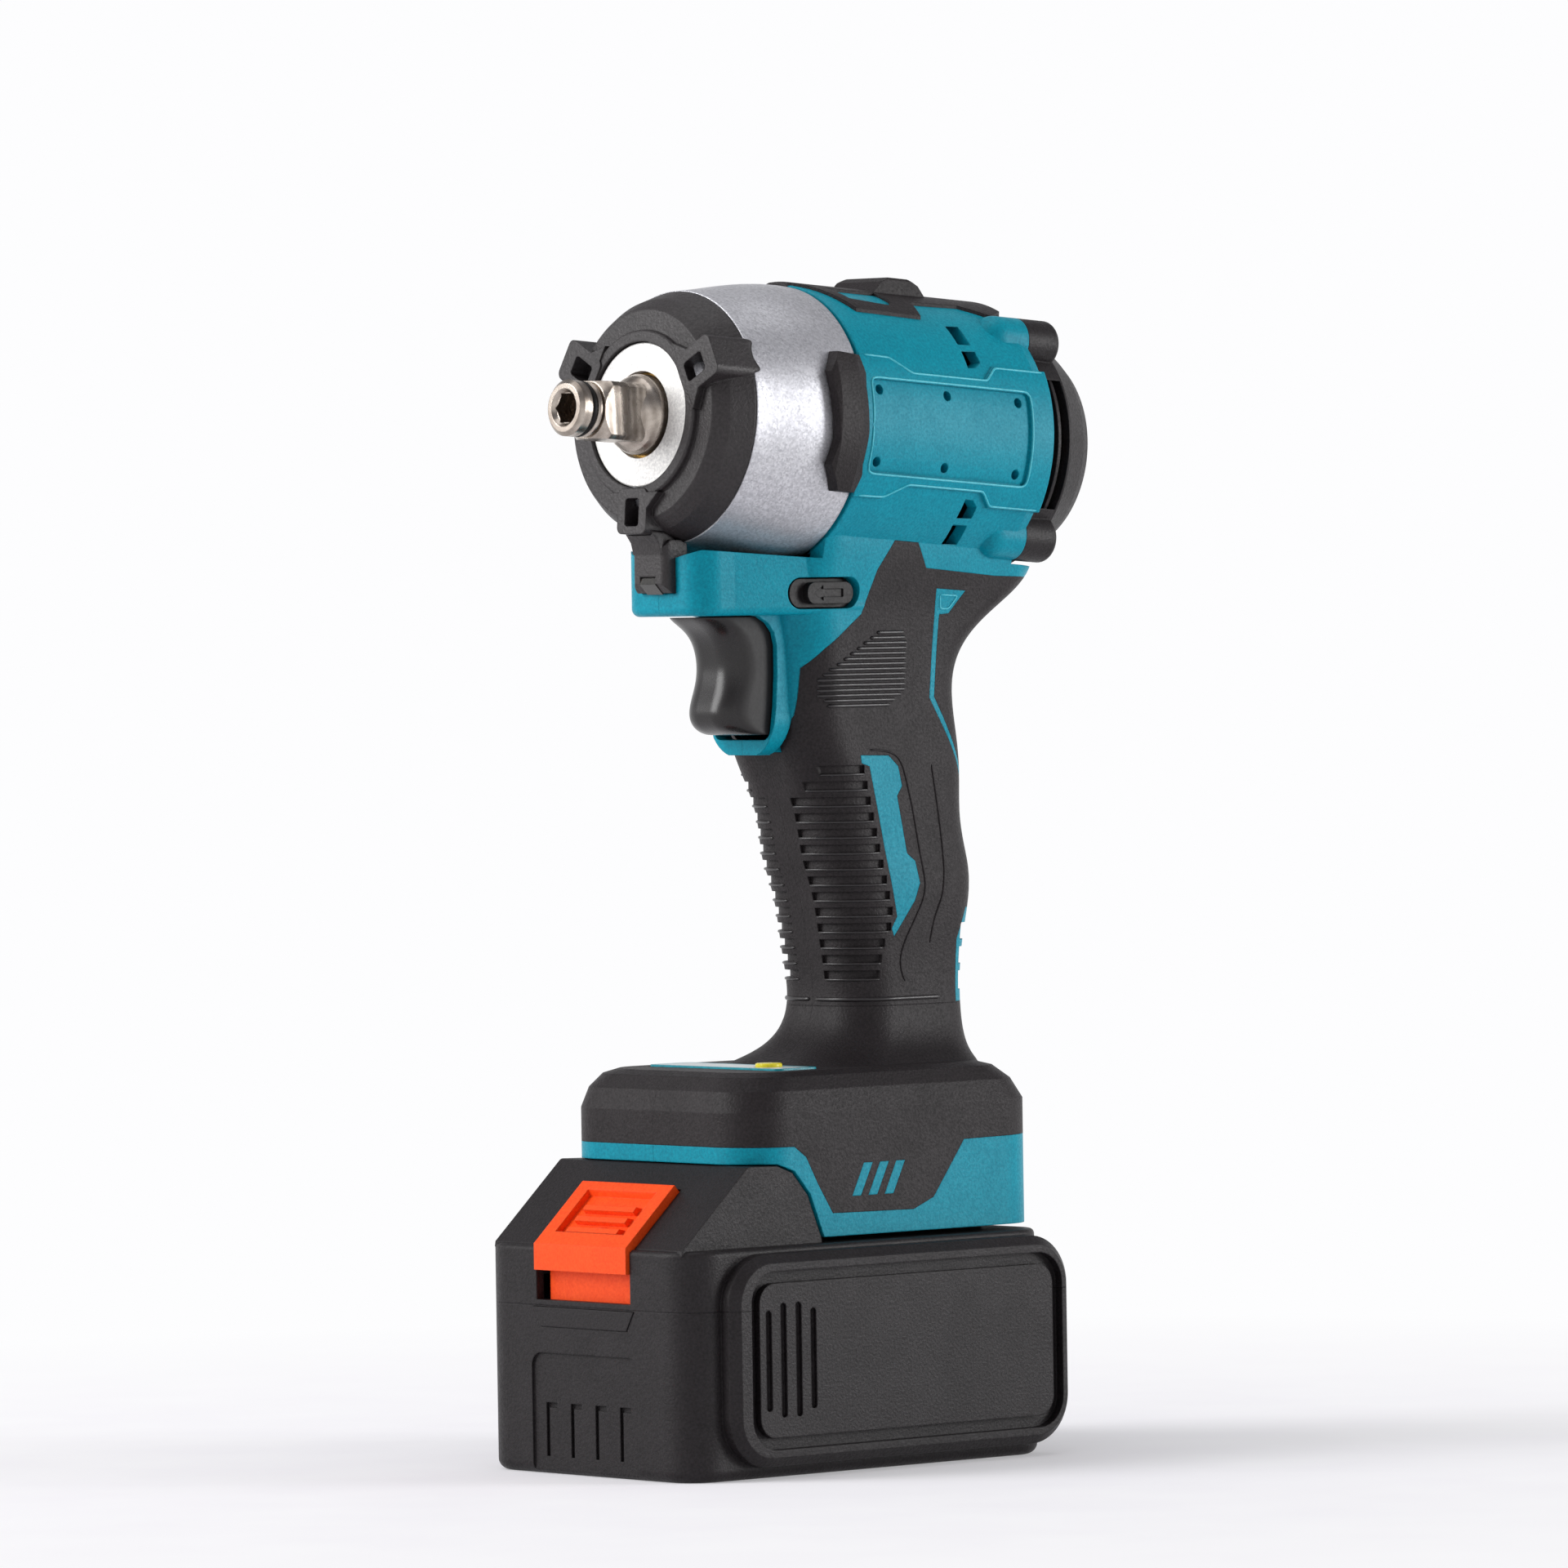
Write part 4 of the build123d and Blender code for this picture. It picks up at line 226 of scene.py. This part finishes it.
# Moulded black ABS of the small levers and plates: darker than the rubber round it, with a weaker gloss.
lever_abs = moulded("black_abs_small_parts", "#100E0F", "#1D1A1B", 0.42, 0.6, 0.05, 0.25, 0.16)[0]


def painted_case():
    """Cast aluminium under silver lacquer: bright metal flakes over a slightly pitted skin. The flakes
    are drawn at 0.45 mm, far coarser than real ones, to show."""
    material, tree, shader, place = new_material("silver_lacquer_on_cast_aluminium")
    flakes = add_node(tree, "TexVoronoi", {"Vector": place, "Scale": 1 / (0.45 * MM)}).outputs["Color"]
    flake_tone = add_node(tree, "SeparateColor", {0: flakes}).outputs[0]
    pits = add_node(tree, "TexNoise", {
        "Vector": place, "Scale": 1 / (0.9 * MM), "Detail": 3.0, "Roughness": 0.6,
    }).outputs["Fac"]
    tone = weighed(tree, (flake_tone, WHOLE, 0.6), (pits, NOISE, 0.4))
    height = add_node(tree, "Math", {0: flake_tone, 1: pits}, operation="ADD").outputs[0]
    finish(tree, shader, tone, ("#A8A8AE", "#DADADF"), (0.46, 0.36), height, 0.03, 0.5)
    shader.inputs["Metallic"].default_value = 0.75
    return material


HEAD_TILT = 4.2  # how far the drive's axis rises towards the nose, in degrees
WAVE_FACTOR = 20  # radians that the wave texture turns by in a length of one over its scale


def turned_steel(name, dark, light, rough, line_mm):
    """Turned and ground steel: rings round the drive's axis that stretch the highlight. The wave texture
    turns by a radian over every line_mm, so a ring is about six times as wide. Real turning marks are far
    finer, and these are drawn to show."""
    material, tree, shader, place = new_material(name)
    along = add_node(tree, "Mapping", {"Vector": place, "Rotation": (radians(-HEAD_TILT), 0, 0)}).outputs[0]
    rings = add_node(tree, "TexWave", {
        "Vector": along, "Scale": 1 / (WAVE_FACTOR * line_mm * MM), "Distortion": 1.0, "Detail": 3.0,
        "Detail Scale": 3.0,
    }, wave_type="BANDS", bands_direction="Y").outputs["Fac"]
    stains = add_node(tree, "TexNoise", {
        "Vector": place, "Scale": 1 / (4.0 * MM), "Detail": 4.0, "Roughness": 0.6,
    }).outputs["Fac"]
    tone = weighed(tree, (rings, WHOLE, 0.35), (stains, NOISE, 0.65))
    finish(tree, shader, tone, (dark, light), (rough + 0.08, rough - 0.06), rings, 0.02, 0.3)
    shader.inputs["Metallic"].default_value = 1.0
    return material


def plain_metal(name, dark, light, rough, metallic=1.0, cloud_mm=2.0):
    """A metal with light cloudy variation, in patches as wide as cloud_mm."""
    material, tree, shader, place = new_material(name)
    clouds = add_node(tree, "TexNoise", {
        "Vector": place, "Scale": 1 / (cloud_mm * MM), "Detail": 4.0, "Roughness": 0.6,
    }).outputs["Fac"]
    tone = weighed(tree, (clouds, NOISE, 1.0))
    finish(tree, shader, tone, (dark, light), (rough + 0.06, rough - 0.06), clouds, 0.02, 0.2)
    shader.inputs["Metallic"].default_value = metallic
    return material


case_lacquer = painted_case()
# Die-cast washer, shot blasted and clear coated: light grey with a dry sparkle.
washer_cast = plain_metal("shot_blasted_cast_washer", "#C6C5C4", "#F0EFEC", 0.5, 0.4, 0.6)
# Phosphated and ground chrome-molybdenum steel of the anvil: warm brown-grey.
anvil_steel = turned_steel("ground_crmo_steel", "#7C7168", "#C9BFB5", 0.27, 0.35)
# Hobbed and hardened gear steel, oiled: a cool mid grey with a soft shine.
gear_steel = plain_metal("hobbed_gear_steel", "#77777A", "#9C9CA0", 0.32)
# Hard-drawn spring wire: darker grey, with a tight shine along the wire.
spring_steel = plain_metal("drawn_spring_wire", "#5C5C60", "#8C8C90", 0.30)
# Sintered bronze, pressed from powder: brown-gold and rather dull.
bronze = plain_metal("sintered_bronze", "#8A6C3A", "#B9924F", 0.42)
# Die-cast zinc alloy, as cast: light grey and satin.
cast_alloy = plain_metal("die_cast_alloy", "#8F9195", "#B6B8BC", 0.5)
# Stacked electrical sheet, punched and varnished: dark grey, half matt.
lamination = plain_metal("stacked_electrical_sheet", "#55555A", "#7B7B80", 0.45)
# Enamelled copper wire: red-brown with a lacquered shine.
winding = plain_metal("enamelled_copper_wire", "#8E3F14", "#C4652A", 0.30)
# Screw steel, black oxide dipped: near black with a faint metal shine.
black_screw = plain_metal("black_oxide_screw_steel", "#2B2B2D", "#4A4A4C", 0.38)
# Nitrile rubber, moulded smooth: deep black, softly shiny.
seal_rubber = moulded("nitrile_seal_rubber", "#100E0E", "#1C1919", 0.5, 0.4, 0.01, 0.1)[0]
# Solder mask, curtain coated over glass-epoxy board: glossy mid green.
board_mask = moulded("green_solder_mask", "#174A2E", "#236B45", 0.35, 0.8, 0.02, 0.1)[0]
# Heat-shrunk sleeve round the cells: smooth glossy blue.
cell_wrap = moulded("blue_shrink_wrap", "#235A86", "#3576AE", 0.30, 2.0, 0.03, 0.2)[0]
# Translucent resin of the mode button, polished mould: bright yellow and shiny.
button_resin = moulded("yellow_translucent_button", "#D8C81E", "#F0E24A", 0.25, 1.0, 0.01, 0.2)[0]

# The label's printed rim, in millimetres.
RIM_WIDTH = 1.5
RIM_BLUR = 0.2


def label_film():
    """Printed polyester label, satin: a teal rim round a pale silver field."""
    material, tree, shader, place = new_material("printed_polyester_label")
    low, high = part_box("control_panel")
    middle = (low + high) / 2
    half = (high - low) / 2
    parts = add_node(tree, "SeparateXYZ", {0: place}).outputs
    inward = []
    for axis in (0, 1):
        off = add_node(tree, "Math", {0: parts[axis], 1: middle[axis]}, operation="SUBTRACT").outputs[0]
        reach = add_node(tree, "Math", {0: off}, operation="ABSOLUTE").outputs[0]
        inward.append(add_node(tree, "Math", {0: half[axis], 1: reach}, operation="SUBTRACT").outputs[0])
    edge = add_node(tree, "Math", {0: inward[0], 1: inward[1]}, operation="MINIMUM").outputs[0]
    fibres = add_node(tree, "TexNoise", {
        "Vector": place, "Scale": 1 / (1.5 * MM), "Detail": 3.0,
    }).outputs["Fac"]
    tone = weighed(tree, (fibres, NOISE, 1.0))
    finish(tree, shader, tone, ("#BFC6C9", "#D3D8DA"), 0.32, fibres, 0.01, 0.3)
    field = shader.inputs["Base Color"].links[0].from_socket
    rim = add_node(tree, "Mix", {0: tone, 6: srgb("#078394"), 7: srgb("#18A0B0")}, data_type="RGBA")
    inside = add_node(tree, "MapRange", {0: edge, 1: RIM_WIDTH * MM, 2: (RIM_WIDTH + RIM_BLUR) * MM})
    mixed = add_node(tree, "Mix", {0: inside.outputs[0], 6: rim.outputs[2], 7: field}, data_type="RGBA")
    tree.links.new(mixed.outputs[2], shader.inputs["Base Color"])
    return material


def smoked_lens():
    """Smoked polycarbonate lens: dark and glossy, with a faint moulded ripple under the shine."""
    material, tree, shader, place = new_material("smoked_polycarbonate_lens")
    ripple = add_node(tree, "TexNoise", {"Vector": place, "Scale": 1 / (0.8 * MM)}).outputs["Fac"]
    tone = weighed(tree, (ripple, NOISE, 1.0))
    finish(tree, shader, tone, ("#2E2D2B", "#413F3C"), 0.16, ripple, 0.02, 0)
    shader.inputs["IOR"].default_value = 1.58
    shader.inputs["Transmission Weight"].default_value = 0.2
    return material


label = label_film()
lens_smoked = smoked_lens()

DRESS = {
    teal_abs: ("left_housing", "right_housing"),
    black_tpe: (
        "left_grip", "right_grip", "left_foot_cover", "right_foot_cover", "top_bumper", "side_pads",
    ),
    worn_tpe: ("nose_bumper", "led_housing"),
    black_nylon: (
        "rear_cover", "battery_lower_case", "battery_upper_case", "battery_side_panels", "battery_plug",
        "battery_cradle", "switch_body", "cell_holder", "fan",
    ),
    trigger_abs: ("trigger",),
    lever_abs: ("direction_lever", "rear_grip_plate"),
    latch_abs: ("latch_button",),
    case_lacquer: ("hammer_case",),
    washer_cast: ("front_washer",),
    anvil_steel: ("anvil", "friction_ring"),
    gear_steel: (
        "ring_gear", "spindle_bearing", "motor_bearings", "motor_shaft", "sun_pinion", "spindle",
        "planet_pins", "planet_gear_1", "planet_gear_2", "planet_gear_3", "hammer", "cam_balls",
    ),
    spring_steel: ("hammer_spring", "trigger_spring", "latch_spring"),
    bronze: ("anvil_bush", "tool_terminals", "battery_terminals"),
    cast_alloy: ("gearbox_plate",),
    lamination: ("stator_core", "rotor_core"),
    winding: ("stator_coils",),
    black_screw: ("rear_cover_screws", "housing_screws", "battery_screws"),
    seal_rubber: ("anvil_o_ring",),
    board_mask: ("sensor_board", "controller_board", "battery_board"),
    cell_wrap: ("battery_cells",),
    button_resin: ("mode_button",),
    label: ("control_panel",),
    lens_smoked: ("led_lens",),
}


def dress():
    """Gives every node its material, in every slot of its mesh."""
    for material, names in DRESS.items():
        for name in names:
            for slot in NODES[name].material_slots:
                slot.material = material


dress()

# ---------------------------------------------------------------- how the pieces are made
# All lengths in this part are millimetres. Y runs backwards, Z upwards and X to the left flank.


def surface_piece(name, points, body, material):
    """A piece from grids of points, an array of (strips, along, around, 3). Each strip is a closed tube:
    its rings join in quads, and its two end rings are drawn together to a point."""
    strips, along, around = points.shape[:3]
    index = np.arange(strips * along * around).reshape(strips, along, around)
    here = index[:, :-1]
    ahead = index[:, 1:]
    quads = np.stack([here, np.roll(here, -1, 2), np.roll(ahead, -1, 2), ahead], -1).reshape(-1, 4)
    mesh = bpy.data.meshes.new(name)
    mesh.from_pydata((points.reshape(-1, 3) * MM).tolist(), [], quads.tolist())
    shell = bmesh.new()
    shell.from_mesh(mesh)
    bmesh.ops.remove_doubles(shell, verts=shell.verts, dist=1e-7)
    bmesh.ops.recalc_face_normals(shell, faces=shell.faces)
    shell.to_mesh(mesh)
    shell.free()
    mesh.shade_smooth()
    mesh.materials.append(material)
    piece = bpy.data.objects.new(name, mesh)
    bpy.context.scene.collection.objects.link(piece)
    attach(piece, body)


def both_flanks(x, y, z):
    """Tubes on the left flank, each (strips, along, around), and their mirror images on the right, whose
    rings run the other way round."""
    left = np.stack([x, y, z], -1)
    right = np.stack([-x, y, z], -1)[:, :, ::-1]
    return np.concatenate([left, right])


def laid_on(points, node, nearest=False):
    """The points, each slid along X onto the node's surface, or moved to the nearest place on it."""
    guide_mesh = bpy.data.meshes.new("guide")
    guide_mesh.from_pydata((points.reshape(-1, 3) * MM).tolist(), [], [])
    guide = bpy.data.objects.new("guide", guide_mesh)
    bpy.context.scene.collection.objects.link(guide)
    slide = guide.modifiers.new("slide", "SHRINKWRAP")
    slide.target = NODES[node]
    slide.wrap_method = "NEAREST_SURFACEPOINT" if nearest else "PROJECT"
    slide.use_project_x = True
    slide.use_positive_direction = False
    slide.use_negative_direction = True
    laid = guide.evaluated_get(bpy.context.evaluated_depsgraph_get()).data
    flat = np.empty(points.size)
    laid.vertices.foreach_get("co", flat)
    bpy.data.objects.remove(guide)
    bpy.data.meshes.remove(guide_mesh)
    return flat.reshape(points.shape) / MM


def eased_path(corners, count):
    """Points evenly spaced by length along straight runs between the corners, then eased: each inner
    point becomes the mean of itself and its two neighbours, eight times over, which rounds the corners
    and leaves the ends."""
    corners = np.array(corners, float)
    length = np.concatenate([[0], np.cumsum(np.linalg.norm(np.diff(corners, axis=0), axis=1))])
    spaced = np.linspace(0, length[-1], count)
    path = np.stack([np.interp(spaced, length, corners[:, k]) for k in (0, 1)], -1)
    for _ in range(8):
        path[1:-1] = (path[:-2] + path[1:-1] + path[2:]) / 3
    return path


# ---------------------------------------------------------------- raised ribs under the thumb
RIB_COUNT = 15
RIB_LOWEST = 167.9
RIB_PITCH = 1.15
RIB_RADIUS = 0.42
RIB_LIFT = 0.14
RIB_TAPER = 0.5
RIB_RINGS = 25
RIB_SIDES = 12
RIB_FRONTS = ((168.4, 0.6), (170.2, -1.7), (173.8, -1.7), (175.9, 0.8), (184.1, 14.7))  # height, front end
RIB_REARS = ((167.2, 17.6), (171.0, 23.3), (181.8, 23.6), (183.8, 22.6))  # height, rear end
THUMB_LEVEL = 175.0
FLANK_CORNER = 10.0


def flank(y, z):
    """How far out the grip's flank stands: its half width at that height, less the drop of a round corner
    for a point up to 9 mm ahead of the flat. The half width and the flat's front end are parabolas over
    the height."""
    rise = z - THUMB_LEVEL
    half_width = 17.271 + 0.0379 * rise + 0.00127 * rise ** 2
    front_of_flat = 3.69 - 0.0236 * rise - 0.0006 * rise ** 2
    past = np.clip(front_of_flat - y, 0.0, 9.0)
    return half_width - (FLANK_CORNER - np.sqrt(FLANK_CORNER ** 2 - past ** 2))


def thumb_ribs():
    """A rib is a thin round bar that lies on the flank, a third of it sunk in. Its centre line runs along
    Y at one height, from a front end to a rear end that depend on the height, its rings closer together
    towards the ends, and its radius shrinks to nothing over the taper as the square root of the distance
    from the end."""
    heights = RIB_LOWEST + RIB_PITCH * np.arange(RIB_COUNT)
    front = np.interp(heights, *zip(*RIB_FRONTS))
    back = np.interp(heights, *zip(*RIB_REARS))
    share = (1 - np.cos(pi * np.linspace(0, 1, RIB_RINGS))) / 2
    turn = np.linspace(0, 2 * pi, RIB_SIDES, endpoint=False)
    y = front[:, None] + (back - front)[:, None] * share
    to_end = np.minimum(y - front[:, None], back[:, None] - y)
    thick = RIB_RADIUS * np.sqrt(np.clip(to_end / RIB_TAPER, 0.0, 1.0))
    z = heights[:, None] + 0 * y
    out = (flank(y, z) + RIB_LIFT)[:, :, None] + thick[:, :, None] * np.cos(turn)
    up = z[:, :, None] + thick[:, :, None] * np.sin(turn)
    surface_piece("thumb_ribs", both_flanks(out, y[:, :, None] + 0 * out, up), "housing", rib_tpe)


# ---------------------------------------------------------------- raised lines seen from the side
LINE_RADIUS = 0.26
LINE_TAPER = 1.0
LINE_SIDES = 10
LINE_RINGS = 72
FAR_OUT = 40.0  # beside the tool, where a line starts its slide onto the surface

# Corners of each raised line on the handle, as (y, z).
HANDLE_LINES = {
    "inlay_border_line": (
        (12.4, 158.0), (18.5, 157.6), (21.3, 156.7), (22.5, 154.6), (25.2, 145.4), (29.4, 127.0),
        (28.8, 124.5), (23.0, 114.5), (21.7, 111.0), (22.5, 107.5), (23.6, 105.9),
    ),
    "palm_edge_line": (
        (31.1, 154.4), (32.4, 147.7), (34.2, 137.5), (34.9, 130.5), (34.3, 124.8), (32.1, 120.3),
        (30.8, 114.3),
    ),
}

# Corners of each bead on the barrel, as distance behind the drive's tip and height above its axis.
DRIVE_TIP = (-60.7, 234.5)
BARREL_RINGS = 240
PANEL_EDGE = ((62.0, 15.6), (69.2, 15.45), (75.3, 12.35), (97.75, 12.35), (101.15, 15.45), (115.6, 15.45))
BARREL_BEADS = {
    "side_plate_border": ((62.2, 0), (62.2, 10.7), (110.1, 10.7), (110.1, -10.7), (62.2, -10.7), (62.2, 0)),
    "panel_upper_bead": PANEL_EDGE,
    "panel_lower_bead": [(s, -level) for s, level in PANEL_EDGE],
}

# Corners of the small embossed outline in the wide head of the teal stripe, as (y, z).
STRIPE_HEAD = ((32.9, 192.2), (38.2, 191.9), (35.6, 189.0), (33.1, 189.1), (32.9, 192.2))
STRIPE_HEAD_RADIUS = 0.22


def raised_line(name, corners, radius, node, material, rings=LINE_RINGS):
    """A thin round bead half sunk in both flanks. Its centre line is the eased path, slid along X onto
    the node's surface; its section is a circle spanned by X and by the path's normal in the side view,
    and its radius shrinks to nothing over the taper as the square root of the distance from the end."""
    path = eased_path(corners, rings)
    centre = laid_on(np.insert(path, 0, FAR_OUT, axis=1), node)
    run = np.gradient(path, axis=0)
    run /= np.linalg.norm(run, axis=1)[:, None]
    share = np.linspace(0, 1, rings)
    total = np.linalg.norm(np.diff(path, axis=0), axis=1).sum()
    to_end = np.minimum(share, 1 - share) * total
    thick = (radius * np.sqrt(np.clip(to_end / LINE_TAPER, 0, 1)))[:, None]
    turn = np.linspace(0, 2 * pi, LINE_SIDES, endpoint=False)
    x = centre[:, :1] + thick * np.cos(turn)
    y = centre[:, 1:2] - run[:, 1:] * thick * np.sin(turn)
    z = centre[:, 2:] + run[:, :1] * thick * np.sin(turn)
    surface_piece(name, both_flanks(x[None], y[None], z[None]), "housing", material)


def beside_barrel(stations):
    """Places given as distance behind the drive's tip and height above its axis, turned into (y, z)."""
    tilt = radians(HEAD_TILT)
    tip_y, tip_z = DRIVE_TIP
    return [
        (tip_y + s * cos(tilt) + level * sin(tilt), tip_z - s * sin(tilt) + level * cos(tilt))
        for s, level in stations
    ]


# ---------------------------------------------------------------- bars round the front of the handle
HANDLE = (  # height, and there the handle's middle y, half depth, half width and corner radius
    (100.8, 27.7, 18.3, 15.6, 11.0),
    (117.0, 27.5, 19.7, 15.9, 11.0),
    (134.0, 25.6, 22.3, 16.5, 11.5),
    (150.0, 22.6, 23.6, 16.8, 12.0),
    (166.0, 18.8, 24.6, 17.0, 10.0),
)
GUIDE_LIFT = 0.4  # how far outside that outline a bar's centre line starts
BAR_TAPER = 0.8
BAR_SIDES = 10
BAR_RINGS = 60

SLOT_TOP = 153.7
SLOT_PITCH = 3.53
LIP_BELOW = 1.12
LIP_RADIUS = 0.3
LIP_STARTS = np.array([13.0, 9.0] + [4.2] * 12)  # x of each lip's inner end, from the top slot down
LIP_REARS = (  # height, and y of a lip's rear end there
    (107.0, 16.3), (114.0, 17.0), (118.0, 19.0), (122.0, 19.3), (147.0, 12.7), (153.7, 11.0),
)
LIP_HEIGHTS = SLOT_TOP - SLOT_PITCH * np.arange(len(LIP_STARTS)) - LIP_BELOW

BAND_RADIUS = 0.5
BAND = (102.3, 0.8, 34.0)  # height, x of the inner end and y of the rear end


def handle_wraps(name, radius, heights, first, rear):
    """Round bars laid across the handle, one at each height. There the handle's front outline is a
    straight front face, a quarter circle and a flank; a bar's centre line follows it from x = first on
    the face to y = rear on the flank, is moved onto the rubber, and carries a circle spanned by Z and by
    the outline's normal, whose radius shrinks to nothing over the taper as the square root of the
    distance from the end."""
    levels, *rows = zip(*HANDLE)
    middle, half_depth, half_width, corner = (np.interp(heights, levels, row)[:, None] for row in rows)
    first = first[:, None]
    rear = rear[:, None]
    front = middle - half_depth
    centre_x = half_width - corner
    centre_y = front + corner
    last_turn = np.arccos(np.clip((centre_y - rear) / corner, 0, 1))
    face_run = np.maximum(centre_x - first, 0)
    skip = corner * np.arcsin(np.clip((first - centre_x) / corner, 0, 1))
    arc = corner * last_turn - skip
    total = face_run + arc + np.maximum(rear - centre_y, 0)
    walked = total * np.linspace(0, 1, BAR_RINGS)
    turned = np.clip((walked - face_run + skip) / corner, 0, last_turn)
    out_x = np.sin(turned)
    out_y = -np.cos(turned)
    past = np.maximum(walked - face_run - arc, 0)
    x = np.where(walked < face_run, first + walked, centre_x + corner * out_x)
    y = np.where(walked < face_run, front, centre_y + corner * out_y + past)
    z = heights[:, None] + 0 * x
    guide = np.stack([x + GUIDE_LIFT * out_x, y + GUIDE_LIFT * out_y, z], -1)
    centre = laid_on(guide, "left_grip", nearest=True)
    to_end = np.minimum(walked, total - walked)
    thick = (radius * np.sqrt(np.clip(to_end / BAR_TAPER, 0, 1)))[:, :, None]
    turn = np.linspace(0, 2 * pi, BAR_SIDES, endpoint=False)
    bar_x = centre[:, :, :1] + thick * out_x[:, :, None] * np.cos(turn)
    bar_y = centre[:, :, 1:2] + thick * out_y[:, :, None] * np.cos(turn)
    bar_z = z[:, :, None] + thick * np.sin(turn)
    surface_piece(name, both_flanks(bar_x, bar_y, bar_z), "housing", rib_tpe)


# ---------------------------------------------------------------- the pieces, one after another
thumb_ribs()
for line_name, line_corners in HANDLE_LINES.items():
    raised_line(line_name, line_corners, LINE_RADIUS, "left_grip", black_tpe)
lip_rears = np.interp(LIP_HEIGHTS, *zip(*LIP_REARS))
handle_wraps("finger_slot_lips", LIP_RADIUS, LIP_HEIGHTS, LIP_STARTS, lip_rears)
handle_wraps("neck_band", BAND_RADIUS, *np.array(BAND)[:, None])
# The beads on the barrel and the stripe's outline are drawn in the paler teal, a painted highlight along
# each.
for bead_name, stations in BARREL_BEADS.items():
    raised_line(bead_name, beside_barrel(stations), LINE_RADIUS, "left_housing", teal_painted_highlight, BARREL_RINGS)
raised_line("stripe_head_outline", STRIPE_HEAD, STRIPE_HEAD_RADIUS, "left_housing", teal_painted_highlight)

# ---------------------------------------------------------------- studio


def looked_at(tree):
    """1 for a ray from the camera, through glass or off gloss, and 0 for one that only carries light."""
    path = add_node(tree, "LightPath").outputs
    direct = add_node(tree, "Math", {
        0: path["Is Camera Ray"], 1: path["Is Transmission Ray"],
    }, operation="MAXIMUM").outputs[0]
    return add_node(tree, "Math", {0: direct, 1: path["Is Glossy Ray"]}, operation="MAXIMUM").outputs[0]


# Metres from the tool's middle.
FLOOR_HALF = 40.0
PAPER_REACH = 0.06  # up to here the floor is mostly paper, which shows the shadow
WHITE_REACH = 0.45  # from here on it is plain white
WHITE_AT_TOOL = 0.25  # the share of plain white within the paper's reach


def lay_floor():
    """A wide pale sweep that keeps the tool's shadow and turns plain white away from it."""
    mesh = bpy.data.meshes.new("studio_floor")
    corners = [(x * FLOOR_HALF, y * FLOOR_HALF, 0) for x, y in ((-1, -1), (1, -1), (1, 1), (-1, 1))]
    mesh.from_pydata(corners, [], [(0, 1, 2, 3)])
    floor = bpy.data.objects.new("studio_floor", mesh)
    bpy.context.scene.collection.objects.link(floor)
    material, tree, shader, place = new_material("matt_white_paper_sweep")
    tree.nodes.remove(shader)
    output = next(node for node in tree.nodes if node.type == "OUTPUT_MATERIAL")
    fibres = add_node(tree, "TexNoise", {
        "Vector": place, "Scale": 1 / (40.0 * MM), "Detail": 3.0,
    }).outputs["Fac"]
    tone = weighed(tree, (fibres, NOISE, 1.0))
    colour = add_node(tree, "Mix", {0: tone, 6: srgb("#EFECF3"), 7: srgb("#F4F2F7")}, data_type="RGBA")
    paper = add_node(tree, "BsdfDiffuse", {"Color": colour.outputs[2], "Roughness": 0.3})
    glow = add_node(tree, "Emission", {"Color": srgb("#FDFDFE"), "Strength": 1.0})
    reach = add_node(tree, "VectorMath", {0: place}, operation="LENGTH").outputs["Value"]
    away = add_node(tree, "MapRange", {
        0: reach, 1: PAPER_REACH, 2: WHITE_REACH, 3: WHITE_AT_TOOL,
    }).outputs[0]
    amount = add_node(tree, "Math", {0: away, 1: looked_at(tree)}, operation="MULTIPLY").outputs[0]
    mixed = add_node(tree, "MixShader", {0: amount, 1: paper.outputs[0], 2: glow.outputs[0]})
    tree.links.new(mixed.outputs[0], output.inputs["Surface"])
    mesh.materials.append(material)


AMBIENT = 0.30  # how much the surround lights what is matt
SKY_FROM = 0.15  # the surround turns from white to grey between these heights of the direction looked in
SKY_TO = 0.60


def light_world():
    """A white surround for the eye, the gloss and the glass, greyer overhead, with a plain level for soft
    light."""
    world = bpy.data.worlds.new("studio_world")
    bpy.context.scene.world = world
    world.use_nodes = True
    tree = world.node_tree
    tree.nodes.clear()
    direction = add_node(tree, "TexCoord").outputs["Generated"]
    height = add_node(tree, "SeparateXYZ", {0: direction}).outputs["Z"]
    upward = add_node(tree, "MapRange", {0: height, 1: SKY_FROM, 2: SKY_TO}).outputs[0]
    sky = add_node(tree, "Mix", {0: upward, 6: srgb("#FDFDFE"), 7: srgb("#8C8C90")}, data_type="RGBA")
    ambient = add_node(tree, "Background", {"Color": srgb("#FFFFFF"), "Strength": AMBIENT}).outputs[0]
    surround = add_node(tree, "Background", {"Color": sky.outputs[2], "Strength": 1.0}).outputs[0]
    mixed = add_node(tree, "MixShader", {0: looked_at(tree), 1: ambient, 2: surround}).outputs[0]
    add_node(tree, "OutputWorld", {"Surface": mixed})


AIM = Vector((0, 0, 0.14))
# Each lamp's name, its metres across, ahead and above as the camera sees the tool, its size and its watts.
LAMPS = (
    ("key_left", (-1.4, -0.3, 0.85), (0.8, 1.2), 22),
    ("key_right", (1.5, -0.2, 0.35), (0.6, 1.0), 16),
    ("top", (-0.1, 0.1, 1.3), (1.2, 0.8), 4),
)


def softbox(name, spot, size, power):
    """A rectangular area lamp that faces the tool."""
    across, ahead, height = spot
    position = RIGHT * across + AHEAD * ahead + Vector((0, 0, height))
    lamp = bpy.data.lights.new(name, "AREA")
    lamp.shape = "RECTANGLE"
    lamp.size, lamp.size_y = size
    lamp.energy = power
    box = bpy.data.objects.new(name, lamp)
    box.rotation_euler = (AIM - position).to_track_quat("-Z", "Y").to_euler()
    box.location = position
    bpy.context.scene.collection.objects.link(box)


lay_floor()
light_world()
for lamp_row in LAMPS:
    softbox(*lamp_row)
